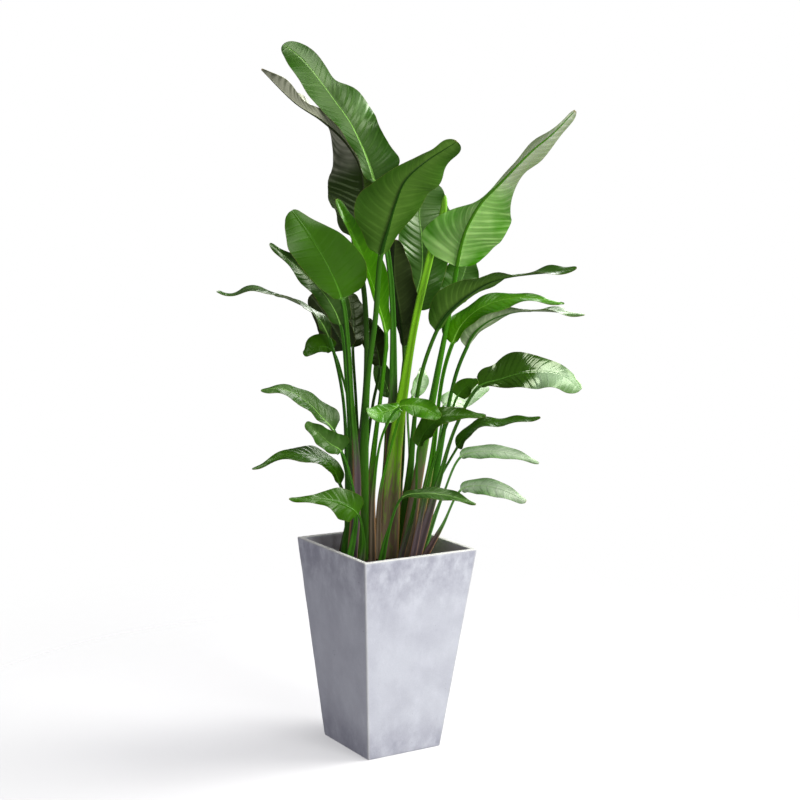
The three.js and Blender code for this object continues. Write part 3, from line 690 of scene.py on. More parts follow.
        # The veins stand at uneven distances and run a little crooked.
        run = start * length
        vein = (run + 3 * np.sin(run / 23 + self.seed) + 2 * np.sin(run / 9.7 + 2 * self.seed)
                + 1.5 * np.sin(reach * 4 + self.seed))
        blade = self.blade_section(s, np.broadcast_to(u, s.shape), np.broadcast_to(upper, s.shape), vein)
        x, h = self.stalk_section(u, upper, blade["keel"], blade["keel"])
        bladed = smoothstep(0, 1.5, blade["half"] / blade["rib"] - 1)
        x = x + (blade["across"] - x) * bladed
        h = h + (blade["up"] - h) * bladed
        flat = centre + x[..., None] * side
        buckles = waves(flat, BUCKLE_LENGTH, self.seed) * BUCKLE_HEIGHT
        lift = buckles * blade["share"] ** 2 * bladed
        return leaf_grid(flat + (h + lift)[..., None] * up, vein_mm=vein, upper=upper,
                         wing=bladed * np.maximum(blade["outer"], 0.06), along=s,
                         rib=np.clip(1.25 - blade["width"] / blade["rib"], 0, 1),
                         margin_mm=(blade["half"] - blade["width"]
                                    + LEAF_VALUES["margin_mm"] * (1 - bladed)),
                         around=np.sin(np.pi * u / 2))

    def build(self, finish: bpy.types.Material) -> bpy.types.Object:
        """Makes the leaf as one closed skin in place of its node.

        Args:
            finish: its material.

        Returns:
            The piece.
        """
        stalk, rib = self.lines()
        grids = [self.stalk_grid(stalk), self.blade_grid(rib)]
        joined = {key: np.concatenate([grid[key] for grid in grids]) for key in grids[0]}
        points = joined.pop("points")
        rings, size = points.shape[:2]
        flat = np.vstack([points.reshape(-1, 3), points[[0, -1]].mean(1)])
        values = {key: np.concatenate([grid.ravel(), grid[[0, -1]].mean(1)])
                  for key, grid in joined.items()}
        piece = make_object(f"grown_{self.name}", plant_to_part(flat), *tube_faces(rings, size), finish,
                            values)
        sharp = np.zeros(len(flat), np.int32)
        column, bladed = np.arange(rings * size) % size, joined["wing"].ravel() > 0.3
        for group, rim in enumerate((0, 2 * self.columns, 2 * self.columns + 1, size - 1), 1):
            sharp[:-2][(column == rim) & bladed] = group
        crease(piece, sharp)
        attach(piece, "root")
        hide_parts(self.name)
        return piece


@dataclass(frozen=True)
class Spear(Leaf):
    """The youngest leaf, still rolled up: its stalk goes on into a tight roll that ends in a point.

    Attributes:
        turns: how far round the outer edge winds from the roll's foot to its point.
        lap: how much the radius steps at that edge, as a share.
    """

    slot: str = "young_leaf"
    turns: float = 0.35
    lap: float = 0.16

    @property
    def age(self) -> float:
        """How far the sheath has turned dusky."""
        return 0.8

    @property
    def columns(self) -> int:
        """Grid columns on each half of a face."""
        return 12

    def blade_grid(self, rib: np.ndarray) -> dict:
        """The roll. Round it the radius grows evenly by the lap and steps back at the outer edge, whose
        line winds slowly up the roll, and along it the girth falls as the root of 1 - s^4.

        Args:
            rib: the roll's centre line.

        Returns:
            The grid's points and the values that the finish reads.
        """
        length = along_line(rib, np.zeros(1))[2]
        rings = int(length / BLADE_STEP)
        u, upper = self.ring_values()
        s = np.broadcast_to((np.arange(rings)[:, None] + 1) / (rings + 0.5), (rings, len(u)))
        centre, along, _ = along_line(rib, s)
        side, up = self.axes(along, s)
        x, h = self.stalk_section(u[None], upper[None], self.petiole, self.petiole)
        angle = np.broadcast_to(np.arctan2(h, x), s.shape)
        girth = np.sqrt(1 - s ** 4)
        lapped = (angle / (2 * np.pi) - self.turns * s) % 1
        radius = self.petiole / 2 * girth * (1 + self.lap * (lapped - 0.5))
        rolled = smoothstep(0, 0.25, s)
        across = (x * girth) * (1 - rolled) + radius * np.cos(angle) * rolled
        rise = (h * girth) * (1 - rolled) + radius * np.sin(angle) * rolled
        return leaf_grid(centre + across[..., None] * side + rise[..., None] * up, vein_mm=s * length,
                         upper=upper, around=0.7 * np.sin(angle))


# Every leaf, read off the photograph. What it hides of them is guessed.
# Leaves in shade take the finish that paints their shade, small bright ones the one that paints glare.
LEAVES = (
    Leaf("leaf_crown", Tone.MATURE, foot=(-5, 40), sheath=(36, 18), petiole=13, stem=((5, 45, 645),
          (8, 42, 855), (0, 25, 1070), (-20, 15, 1205)), rib=((-44, 5, 1316), (-63, 14, 1370),
          (-82, 26, 1411), (-104, 40, 1451), (-139, 62, 1497), (-177, 84, 1545), (-218, 110, 1592),
          (-266, 138, 1629)), faces=((0.1, -1, 0.35), (0.2, -1, 0.2)),
         minus=(25, 20, 29, 34, 41, 47, 41, 39, 26), plus=(73, 60, 54, 64, 57, 32, 32, 33, 31),
         fold=(12, (5, 15, 25, 10, 0)), curl=(0, (0, 0, -5, -60, -45, 0, 0, 0, 0)), wave=(4, 4, 0.1),
         pleat=(0.3, 1.1)),
    Leaf("leaf_crown_left", Tone.AGED, foot=(-62, 75), sheath=(30, 15), petiole=12,
         stem=((-65, 75, 635), (-55, 75, 875), (-65, 58, 1065)), rib=((-90, 48, 1190), (-73, 62, 1246),
          (-70, 74, 1306), (-85, 80, 1363), (-119, 78, 1411), (-167, 58, 1452), (-227, 25, 1489),
          (-302, -18, 1560)), faces=((0.2, 1, 0.1), (0.3, 1, 0.2), (0.3, 0.9, 0.4), (0.3, 0.3, 0.95),
          (0.2, 0.1, 1)), minus=(52, 62, 56, 38, 22, 18, 22, 24), plus=(58, 90, 92, 66, 42, 36, 32, 26),
         fold=((15, 15, 15, 20, 45, 55, 50, 35), (10, 5, 5, 15, 50, 62, 55, 38)), wave=(5, 4, 0.3),
         pleat=(1.5, 1.5)),
    Leaf("leaf_folded", Tone.FRESH, foot=(-35, 70), sheath=(24, 12), petiole=9, stem=((-38, 50, 635),
          (-18, 22, 850)), rib=((-11, 5, 971), (-28, 2, 1035), (-47, 2, 1093), (-73, 5, 1161),
          (-99, 12, 1210), (-131, 20, 1276)), faces=((0.5, -0.8, 0.3),), minus=(12, 20, 24, 20, 12),
         plus=(16, 34, 40, 30, 16), fold=(30, 35), wave=(3, 3, 0), pleat=(0.4, 0.4)),
    Leaf("leaf_centre", Tone.DEEP, foot=(-55, -20), sheath=(30, 15), petiole=12, stem=((-55, -35, 655),
          (-50, -50, 865), (-35, -60, 1005)), rib=((-25, -70, 1155), (-10, -85, 1215), (5, -100, 1270),
          (25, -120, 1320), (65, -140, 1360), (136, -162, 1408)), faces=((-0.15, 1, -0.1),
          (-0.2, 0.9, 0.1), (-0.5, 0.6, 0.7)), minus=(20, 33, 54, 68, 72, 78, 64, 57),
         plus=(45, 79, 86, 65, 38, 19, 17, 23), fold=(10, 15), curl=(10, 10), wave=(5, 3, 0.2),
         pleat=(0.6, 0.6)),
    Leaf("leaf_right_crown", Tone.LIT, foot=(45, 5), sheath=(30, 15), petiole=11, stem=((70, 20, 625),
          (110, 50, 860), (140, 60, 1050)), rib=((150, 52, 1127), (157, 30, 1172), (165, 5, 1206),
          (180, -18, 1242), (201, -38, 1278), (232, -60, 1312), (268, -85, 1353), (306, -105, 1394),
          (345, -128, 1429), (390, -150, 1480)), faces=((0.1, 1, -0.2), (-0.1, 1, 0), (-0.4, 0.8, 0.4)),
         minus=(60, 80, 86, 78, 40, 26, 33, 25, 19), plus=(110, 85, 45, 14, 16, 18, 20, 12, 6),
         fold=(10, (20, 30, 50, 66, 70, 70, 68, 60, 40)), wave=(4, 4, 0.2), pleat=(1.3, 0.9)),
    Leaf("leaf_back_centre", Tone.MATURE, foot=(20, 95), sheath=(30, 14), petiole=11,
         stem=((25, 110, 630), (30, 125, 850)), rib=((50, 140, 1015), (70, 155, 1110), (68, 175, 1190),
          (62, 198, 1250), (80, 222, 1325)), faces=((0.3, -1, 0.3),),
         minus=(49, 60, 67, 68, 58, 45, 34), plus=(49, 51, 62, 72, 80, 74, 52), fold=(20, 20),
         wave=(5, 4, 0.4), pleat=(1.1, 1.1)),
    Leaf("leaf_back_hanging", Tone.DARK, foot=(2, 68), sheath=(22, 11), petiole=7, stem=((30, 72, 625),
          (35, 75, 800)), rib=((30, 85, 935), (20, 82, 1015), (5, 80, 1100), (5, 75, 1185)),
         faces=((0.6, 0.75, 0.2),), minus=(25, 40, 48, 44, 26), plus=(22, 36, 42, 38, 22),
         fold=(22, 24), wave=(3, 3, 0.1)),
    Leaf("leaf_left_round", Tone.DEEP, foot=(-78, -45), sheath=(26, 13), petiole=11,
         stem=((-70, -60, 635), (-85, -80, 825), (-95, -85, 950)), rib=((-110, -90, 1055),
          (-140, -100, 1125), (-180, -100, 1190), (-225, -90, 1250)), faces=((0.5, -0.9, 0.2),
          (0.4, -0.9, 0.3)), minus=(27, 42, 51, 59, 64, 64, 48, 33),
         plus=(71, 84, 84, 76, 64, 46, 30, 19), fold=(2, 10), curl=(0, -10), pleat=(0.25, 0.35)),
    Leaf("leaf_left_behind", Tone.MATURE, foot=(-85, 20), sheath=(22, 11), petiole=7,
         stem=((-85, 5, 645), (-100, 0, 860)), rib=((-115, -10, 990), (-145, -20, 1050),
          (-195, -40, 1105), (-275, -70, 1175)), faces=((-0.4, -0.6, 0.7),), minus=(20, 26, 30, 22, 12),
         plus=(40, 50, 40, 20, 8), fold=(20, 20), wave=(4, 3, 0)),
    Leaf("leaf_left_long", Tone.MATURE, foot=(-90, 50), sheath=(22, 11), petiole=7,
         stem=((-95, 40, 640), (-110, 30, 830)), rib=((-141, 20, 955), (-161, 10, 994), (-185, 0, 1023),
          (-214, -12, 1039), (-252, -32, 1056), (-291, -50, 1069), (-322, -65, 1071), (-356, -80, 1060),
          (-390, -95, 1065)), faces=((-0.5, -0.4, 0.7), (-0.2, -0.12, 1), (-0.2, -0.25, 0.95)),
         minus=(10, 20, 28, 30, 28, 26, 15), plus=(16, 30, 36, 30, 28, 26, 15), curl=(-20, -20),
         wave=(4, 3, 0.2)),
    Leaf("leaf_left_dark_a", Tone.DARK, foot=(-88, 81), sheath=(22, 11), petiole=7,
         stem=((-92, 98, 630), (-95, 95, 800)), rib=((-110, 95, 920), (-150, 120, 990),
          (-195, 150, 1045)), faces=((0.3, 0.9, 0.2),), minus=(36, 44, 44, 36, 22)),
    Leaf("leaf_left_dark_b", Tone.DARK, foot=(-60, 100), sheath=(22, 11), petiole=7,
         stem=((-70, 115, 630), (-80, 120, 795)), rib=((-90, 120, 925), (-90, 150, 985),
          (-100, 180, 1050)), faces=((0.2, -0.9, 0.2),), minus=(24, 30, 32, 28, 18), fold=(15, 15)),
    Leaf("leaf_centre_dark", Tone.DARK, foot=(-40, 110), sheath=(22, 11), petiole=7,
         stem=((-55, 125, 625), (-40, 130, 785)), rib=((-25, 130, 880), (-38, 150, 935),
          (-66, 170, 990)), faces=((-0.3, -0.9, 0.3),), minus=(20, 28, 30, 28, 18),
         plus=(22, 32, 34, 28, 18), fold=(15, 15)),
    Leaf("leaf_small_oval", Tone.DEEP, foot=(-70, 40), stem=((-80, 55, 615), (-90, 60, 770),
          (-110, 50, 860)), rib=((-135, 40, 925), (-160, 30, 935), (-200, 15, 915)),
         faces=((-0.3, -0.9, 0.4),), minus=(12, 14, 14, 12, 8), plus=(22, 31, 33, 26, 12), fold=(5, 5),
         wave=(1, 2, 0)),
    Leaf("leaf_left_mid", Tone.MATURE, foot=(-95, -5), sheath=(22, 11), petiole=7,
         stem=((-85, -20, 580), (-105, -30, 690)), rib=((-125, -45, 750), (-150, -60, 780),
          (-175, -80, 810), (-210, -105, 840), (-250, -125, 855), (-285, -140, 850)),
         faces=((-0.1, -0.6, 0.8),), minus=(10, 20, 28, 26, 14), plus=(48, 40, 30, 18, 8),
         curl=(-10, -10), wave=(3, 3, 0)),
    Leaf("leaf_left_curled", Tone.MATURE, foot=(-84, -66), stem=((-70, -75, 570),),
         rib=((-105, -95, 710), (-130, -110, 730), (-160, -125, 760), (-185, -130, 780)),
         faces=((0.1, -0.9, 0.5),), minus=(18, 24, 26, 24, 14), plus=(32, 30, 24, 18, 10),
         fold=(20, 20), wave=(4, 3, 0)),
    Leaf("leaf_left_low", Tone.DEEP, foot=(-100, 15), sheath=(22, 11), petiole=7, stem=((-90, 0, 555),),
         rib=((-110, -15, 620), (-130, -35, 665), (-165, -60, 690), (-210, -85, 700), (-255, -105, 690),
          (-305, -120, 670)), faces=((-0.1, -0.6, 0.8),), minus=(10, 22, 26, 14, 8),
         plus=(20, 38, 28, 16, 5), fold=(5, 5), curl=(-10, -10), wave=(3, 3, 0)),
    Leaf("leaf_left_lowest", Tone.DEEP, foot=(-56, -62), stem=((-52, -80, 505),), rib=((-65, -105, 570),
          (-95, -125, 595), (-135, -150, 610), (-175, -180, 615), (-215, -205, 620)),
         faces=((0.1, -0.85, 0.5),), minus=(34, 36, 16, 9, 6), plus=(36, 36, 20, 10, 6), fold=(5, 5),
         curl=(-10, -10), wave=(3, 3, 0)),
    Leaf("leaf_centre_low", Tone.FRESH, foot=(-30, -45), stem=((-30, -78, 625), (-10, -112, 760)),
         rib=((25, -128, 820), (50, -138, 825), (80, -150, 820), (115, -180, 805)),
         faces=((-0.2, -0.8, 0.6),), minus=(12, 20, 22, 20, 12), plus=(14, 24, 28, 26, 14),
         fold=(15, 10)),
    Leaf("leaf_centre_low_left", Tone.FRESH, foot=(-20, -10), stem=((-15, -30, 610), (10, -50, 730)),
         rib=((25, -60, 810), (5, -80, 805), (-25, -100, 800), (-50, -120, 810)),
         faces=((0.3, -0.8, 0.6),), minus=(16, 26, 30, 26, 14), plus=(10, 18, 20, 18, 10)),
    Leaf("leaf_right_low_a", Tone.DEEP, foot=(35, -20), stem=((65, -35, 585),), rib=((70, -55, 720),
          (90, -75, 765), (125, -90, 795), (175, -95, 800), (220, -100, 800)), faces=((0, -0.7, 0.7),),
         minus=(18, 30, 24, 16, 8), plus=(14, 30, 26, 18, 8), fold=(15, 15), wave=(3, 3, 0)),
    Leaf("leaf_right_low_b", Tone.DEEP, foot=(75, 10), stem=((110, 5, 605),), rib=((160, -5, 710),
          (180, -15, 745), (210, -30, 770), (265, -50, 780), (345, -75, 795)),
         faces=((-0.1, -0.5, 0.85),), minus=(16, 20, 16, 16, 10), plus=(26, 26, 20, 20, 12),
         wave=(3, 3, 0)),
    Leaf("leaf_right_pale", Tone.PALE, foot=(85, 40), stem=((130, 40, 585),), rib=((170, 40, 680),
          (205, 30, 695), (260, 10, 700), (305, -5, 695), (350, -20, 680)), faces=((0, -0.8, 0.6),),
         minus=(14, 16, 16, 12, 6), plus=(14, 22, 20, 14, 6), wave=(2, 3, 0)),
    Leaf("leaf_right_lowest", Tone.PALE, foot=(90, 0), stem=((130, -10, 525),), rib=((170, -30, 615),
          (205, -50, 630), (260, -85, 630), (315, -120, 610)), faces=((0, -0.85, 0.5),),
         minus=(14, 18, 18, 14, 8), plus=(14, 22, 24, 20, 12), fold=(5, 5), wave=(2, 3, 0)),
    Leaf("leaf_front_low", Tone.MATURE, foot=(-10, -60), stem=((5, -85, 525),), rib=((35, -110, 610),
          (75, -130, 625), (140, -150, 625), (200, -165, 610)), faces=((0, -0.7, 0.7),),
         minus=(9, 14, 16, 13, 6), plus=(9, 16, 18, 14, 6), wave=(2, 3, 0)),
    Leaf("leaf_right_tiny", Tone.DEEP, foot=(60, -45), stem=((100, -60, 665), (140, -70, 795)),
         rib=((155, -75, 840), (175, -85, 865), (200, -95, 880)), faces=((0.2, -0.9, 0.4),),
         minus=(18, 22, 20, 14, 8), fold=(15, 15), wave=(2, 2, 0)),
    Leaf("leaf_right_glossy", Tone.GLOSSY, foot=(70, -15), sheath=(24, 12), petiole=8,
         stem=((115, -25, 620), (155, -35, 765)), rib=((205, -50, 860), (250, -70, 880),
          (305, -95, 900), (355, -115, 905), (395, -135, 895), (425, -150, 870)),
         faces=((0.1, -0.85, 0.6),), minus=(36, 56, 44, 26, 16), plus=(12, 30, 44, 46, 34),
         curl=(-10, -10), wave=(3, 3, 0), pleat=(0.9, 0.9)),
    Leaf("leaf_right_long_a", Tone.DEEP, foot=(30, 45), sheath=(26, 13), petiole=9, stem=((50, 40, 620),
          (70, 30, 860)), rib=((106, 20, 978), (129, 2, 1020), (159, -20, 1053), (190, -45, 1079),
          (221, -75, 1100), (260, -105, 1114), (306, -135, 1123), (352, -162, 1130), (402, -190, 1141)),
         faces=((0.3, 0.9, 0.2), (0.25, 0.6, 0.6), (0.15, -0.1, 1), (0.1, -0.6, 0.75)),
         minus=(14, 20, 22, 24, 26, 32, 30, 16), plus=(42, 50, 36, 26, 24, 28, 32, 20),
         fold=((60, 60, 40, 25, 15, 10, 10, 10), 10), wave=(4, 4, 0)),
    Leaf("leaf_right_long_b", Tone.FRESH, foot=(60, 65), sheath=(26, 13), petiole=9,
         stem=((100, 75, 640), (125, 70, 870)), rib=((145, 65, 945), (165, 60, 990), (205, 45, 1030),
          (265, 25, 1055), (330, 0, 1060), (395, -20, 1050)), faces=((0, -0.6, 0.8),),
         minus=(39, 34, 31, 28, 22, 14, 10, 7), plus=(15, 20, 30, 42, 36, 22, 14, 10), curl=(-10, -10),
         wave=(4, 3, 0)),
    Leaf("leaf_right_long_c", Tone.MATURE, foot=(80, 80), sheath=(24, 12), petiole=9,
         stem=((115, 95, 635), (155, 95, 865)), rib=((180, 90, 935), (200, 80, 975), (235, 70, 1005),
          (290, 50, 1025), (355, 25, 1030), (445, 0, 1025)), faces=((0.3, 0.8, 0.5), (0.1, 0.3, 1),
          (0.1, -0.4, 0.9)), minus=(8, 12, 18, 24, 26, 24, 22, 12),
         plus=(30, 32, 30, 28, 28, 24, 18, 10), fold=(20, 10), curl=(-15, -15), wave=(4, 3, 0)),
    Spear("spear", Tone.YOUNG, foot=(5, 10), sheath=(48, 24), petiole=18, stem=((15, 15, 695),
           (30, 25, 820), (55, 45, 990), (85, 85, 1135)), rib=((100, 100, 1200), (115, 110, 1245),
           (120, 115, 1290)), faces=((0, -1, 0),)),
    Leaf("leaf_back_right", Tone.MATURE, foot=(40, 120), sheath=(22, 11), petiole=7,
         stem=((70, 140, 625), (115, 150, 895)), rib=((145, 150, 1035), (165, 170, 1085),
          (185, 190, 1145)), faces=((-0.2, -0.9, 0.3),), minus=(40, 50, 50, 42, 24),
         plus=(36, 44, 44, 38, 22), fold=(15, 15), wave=(4, 3, 0)),
    Leaf("leaf_back_pale", Tone.PALE, foot=(65, 100), stem=((105, 120, 605), (125, 125, 740)),
         rib=((130, 125, 790), (180, 160, 805), (240, 190, 830)), faces=((0.1, -0.8, 0.6),),
         minus=(22, 28, 28, 22, 12), fold=(15, 15)),
    Leaf("leaf_back_low_a", Tone.PALE, foot=(8, 126), stem=((50, 160, 620), (45, 165, 780)),
         rib=((55, 165, 805), (75, 190, 840), (80, 215, 870)), faces=((0.5, -0.8, 0.3),),
         minus=(14, 20, 20, 16, 10), fold=(15, 15), wave=(2, 2, 0)),
    Leaf("leaf_back_low_b", Tone.MATURE, foot=(-20, 122), stem=((-10, 160, 620), (-5, 165, 770)),
         rib=((0, 165, 800), (-15, 190, 845), (-35, 215, 890)), faces=((-0.3, -0.8, 0.4),),
         minus=(18, 24, 24, 20, 12), fold=(15, 15), wave=(2, 2, 0)),
)


@dataclass(frozen=True)
class FibreConcrete:
    """Fibre concrete, cast in a mould and smoothed by rubbing: matt and pale grey with a cool cast,
    softly clouded where the cement bled, darker and more mottled under the rim, where the leaves' shade
    is painted, and darker towards the foot, with a few small air pits whose shade is painted dark. The
    inner wall is painted darker as its shade. Rubbing has worn the sharp edges and the rim paler, and a
    painted highlight lies along the upright corners and the rim's top.

    Attributes:
        body: the plain grey.
        cloud: the darker clouds, and the painted shade under the rim.
        bloom: the pale bloom in the clouds.
        rubbed_and_highlight: the rim's top and the edges, worn paler, with a painted highlight.
        pit_shade: the air pits' painted shade.
        inside: the inner wall, painted darker as its shade.
        roughness: how rough it is on average.
        pit_mm: how far apart the pits would be if every cell had one.
    """

    body: str = "cccfd6"
    cloud: str = "a5a6b2"
    bloom: str = "d6d8e0"
    rubbed_and_highlight: str = "cfcfc9"
    pit_shade: str = "70717c"
    inside: str = "b2b0b6"
    roughness: float = 0.82
    pit_mm: float = 8.0

    def build(self) -> bpy.types.Material:
        """Makes the material, on Object coordinates and the shell's own values for its worn and
        highlighted edges and its inside.

        Returns:
            The material.
        """
        material, node = new_material("fibre_concrete")
        wear_and_highlight, inside = (node("Attribute", attribute_name=key).outputs["Fac"]
                        for key in ("wear_and_highlight", "inside"))
        place = node("TexCoord").outputs["Object"]
        height = node("SeparateXYZ", place).outputs["Z"]
        broad = node("TexNoise", place, Scale=9.0, Detail=5.0, Roughness=0.6)
        drawn = node("Mapping", place, Location=(3.0, 1.0, 2.0), Scale=(26.0, 26.0, 17.0))
        mottle = node("TexNoise", drawn, Scale=1.0, Detail=6.0, Roughness=0.65)
        grain = node("TexNoise", place, Scale=420.0, Detail=3.0)

        # Clouds: broad ones all over, and finer mottling that grows under the rim, where it paints the
        # leaves' shade, and darker towards the foot.
        upper = node("MapRange SMOOTHSTEP", height, 0.3, 0.47, 0.08, 0.75)
        lower = node("MapRange SMOOTHSTEP", height, 0.12, 0, 0, 0.5)
        banded = node("Math ADD", upper, lower)
        dim = node("Math MULTIPLY_ADD", node("MapRange", mottle, 0.62, 0.4), banded,
                   node("Math MULTIPLY", lower, 0.5))
        shade = node("Math MULTIPLY_ADD", node("MapRange", broad, 0.6, 0.34), 0.32, dim, use_clamp=True)
        pale = node("MapRange", mottle, 0.5, 0.72, 0, 0.45)
        # The inner wall painted darker as its shade, less where the mottling is pale.
        painted_inner_shade = node("Math MULTIPLY", inside, node("Math MULTIPLY_ADD", pale, -0.5, 1.0))

        # Air pits in a few of the cells of a Voronoi pattern, their shade painted dark.
        cells = node("TexVoronoi", place, Scale=1 / (self.pit_mm * MM))
        reach = node("MapRange", node("TexNoise", place, Scale=30.0, Detail=1.0), 0.55, 0.8, 0, 0.2)
        pits = node("MapRange SMOOTHSTEP", node("Math SUBTRACT", reach, cells), 0, 0.08)
        # The mixes paint shade under the rim, inside and in the pits, and a highlight on the edges.
        colour = linear(self.body)
        for share, paint in ((pale, self.bloom), (shade, self.cloud), (wear_and_highlight, self.rubbed_and_highlight),
                             (painted_inner_shade, self.inside), (pits, self.pit_shade)):
            colour = node("Mix RGBA", share, colour, linear(paint))
        flecks = node("Mix RGBA", 0.25, colour, grain, blend_type="SOFT_LIGHT")

        relief = node("Math MULTIPLY_ADD", grain, 0.35, node("Math MULTIPLY", pits, -1.5))
        node("OutputMaterial", node(
            "BsdfPrincipled", flecks, IOR=1.5, Specular_IOR_Level=0.35,
            Roughness=node("Math MULTIPLY_ADD", broad, 0.2, self.roughness - 0.1),
            Normal=node("Bump", Strength=0.4, Distance=0.0006, Height=relief)))
        return material


@dataclass(frozen=True)
class PottingSoil:
    """Damp potting soil of peat and bark: dark, reddish and crumbly, quite without shine.

    Attributes:
        peat: the fine dark part.
        bark: the bits of bark.
        dust: the dry bits on top.
    """

    peat: str = "2a1a14"
    bark: str = "5a3626"
    dust: str = "7d6048"

    def build(self) -> bpy.types.Material:
        """Makes the material, on Object coordinates: noise for the crumbs and Voronoi cells for the bits.

        Returns:
            The material.
        """
        material, node = new_material("potting_soil")
        place = node("TexCoord").outputs["Object"]
        crumbs = node("TexNoise", place, Scale=150.0, Detail=6.0, Roughness=0.7)
        bits = node("SeparateColor", node("TexVoronoi", place, Scale=190.0).outputs["Color"])
        barky = node("MapRange", crumbs, 0.4, 0.75)
        dry = node("MapRange", bits, 0.86, 0.95, 0, 0.7)
        colour = node("Mix RGBA", barky, linear(self.peat), linear(self.bark))
        colour = node("Mix RGBA", dry, colour, linear(self.dust))
        node("OutputMaterial", node(
            "BsdfPrincipled", colour, IOR=1.4, Roughness=node("MapRange", crumbs, 0, 1, 0.98, 0.82),
            Normal=node("Bump", Strength=0.8, Distance=0.0015, Height=crumbs)))
        return material


@dataclass(frozen=True)
class Planter:
    """The tapered square planter: a thin-walled shell with softly worn edges and four drain holes.

    Attributes:
        top, bottom: its outer widths.
        height: its height.
        wall, floor: its thicknesses.
        corner: the radius of its upright corners.
        edge: the radius of the rim's edges.
        drain_radius, drain_offset: the drain holes and their distance from the middle.
        finish: what it is made of.
    """

    top: float = 306
    bottom: float = 200
    height: float = 480
    wall: float = 12
    floor: float = 16
    corner: float = 3
    edge: float = 2.5
    drain_radius: float = 8
    drain_offset: float = 45
    finish: FibreConcrete = field(default_factory=FibreConcrete)

    def half(self, z: np.ndarray | float) -> np.ndarray | float:
        """The outer half width at a height."""
        return (self.bottom + (self.top - self.bottom) * z / self.height) / 2

    def outline(self) -> tuple:
        """A unit square with its rounding kept apart, so that it can be made at any width. The points
        of a wall stand closer towards its corners, as the sine of an even angle.

        Returns:
            For each point, the square's corner or wall place from -1 to 1, and the way out that the
            rounding is added along.
        """
        walls, bends = 56, 5
        run = np.sin(np.linspace(-1, 1, walls) * math.pi / 2)[:, None]
        places, ways = [], []
        for turn in np.arange(4) * math.pi / 2:
            out, side = (np.array([math.cos(a), math.sin(a)]) for a in (turn, turn + math.pi / 2))
            bend = turn + np.linspace(0, math.pi / 2, bends + 2)[1:-1]
            places += [out + run * side, np.broadcast_to(out + side, (bends, 2))]
            ways += [np.broadcast_to(out, (walls, 2)), np.stack([np.cos(bend), np.sin(bend)], 1)]
        return np.concatenate(places), np.concatenate(ways)

    def profile(self) -> np.ndarray:
        """The section of a wall, from the underside's edge up the outside, over the rim on two quarter
        rounds and down the inside to the floor: [half width, height, 1 on the inside].

        Returns:
            One row for each ring.
        """
        round_rings, outer_rings, inner_rings = 5, 84, 36
        rounds = [(math.sin(a), math.cos(a)) for a in np.linspace(0, math.pi / 2, round_rings)]
        edge, rim = self.edge, self.height - self.edge
        inner_rim = self.half(rim) - self.wall
        under = [(self.half(0) * k, 0, 0) for k in (0.33, 0.66)]
        foot = [(self.half(0) - edge * (1 - sin), edge * (1 - cos), 0) for sin, cos in rounds]
        rise = [(self.half(z), z, 0) for z in np.linspace(8, self.height - 8, outer_rings)]
        outer = [(self.half(rim) - edge * (1 - cos), rim + edge * sin, 0) for sin, cos in rounds]
        inner = [(inner_rim + edge * (1 - sin), rim + edge * cos, 0) for sin, cos in rounds]
        down = [(self.half(z) - self.wall, z, 1) for z in np.linspace(rim - 6, self.floor, inner_rings)]
        base = [(self.half(self.floor) * k, self.floor, 1) for k in (0.66, 0.33)]
        return np.array(under + foot + rise + outer + inner + down + base, float)

    def build(self) -> bpy.types.Object:
        """Makes the shell in place of its node: the square outline carried along the wall's profile,
        its faces a little uneven and its edges a little chipped.

        Returns:
            The piece.
        """
        place, way = self.outline()
        half, z, inside = (column[:, None] for column in self.profile().T)
        radius = np.minimum(self.corner, half * 0.9)
        flat = place * (half - radius)[..., None] + way * radius[..., None]
        points = np.dstack([flat, np.broadcast_to(z, flat.shape[:2])])

        # The edges are worn pale by rubbing over 3 mm, with a painted highlight along the corners and the
        # rim's top, and the chips bite into them alone. The walls are uneven by 0.16 mm over 75 mm and by
        # 0.04 mm over 24 mm.
        near_corner = np.abs(place).min(1) * (half - radius) + radius - half
        near_rim = z - self.height
        closest = np.maximum(near_corner, near_rim) * (1 - inside) - 30 * inside
        wear_and_highlight = smoothstep(-3.2, -0.4, near_rim) + 0.4 * smoothstep(-2.4, -0.4, near_corner)
        wear_and_highlight = np.clip(wear_and_highlight, 0, 1) * (1 - inside)
        rough = waves(points, 75, 11) * 0.16 + waves(points, 24, 12) * 0.04
        chips = np.maximum(waves(points, 16, 13) - 1.3, 0) * 0.6 * smoothstep(-3, 0, closest)
        on_wall = (z > 1) & (inside < 1)
        points[..., :2] += way * np.where(on_wall, rough - chips, 0)[..., None]
        points[..., 2] -= chips * (near_rim > -3)

        values = {"wear_and_highlight": np.concatenate([wear_and_highlight.ravel(), [0, 0]]),
                  "inside": np.concatenate([np.broadcast_to(inside, wear_and_highlight.shape).ravel(), [0, 1]])}
        ends = [[0, 0, 0], [0, 0, self.floor]]
        piece = make_object("planter_shell", np.vstack([points.reshape(-1, 3), ends]) * MM,
                            *tube_faces(*points.shape[:2]), self.finish.build(), values)
        self.drill(piece)
        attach(piece, "root")
        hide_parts("pot")
        return piece

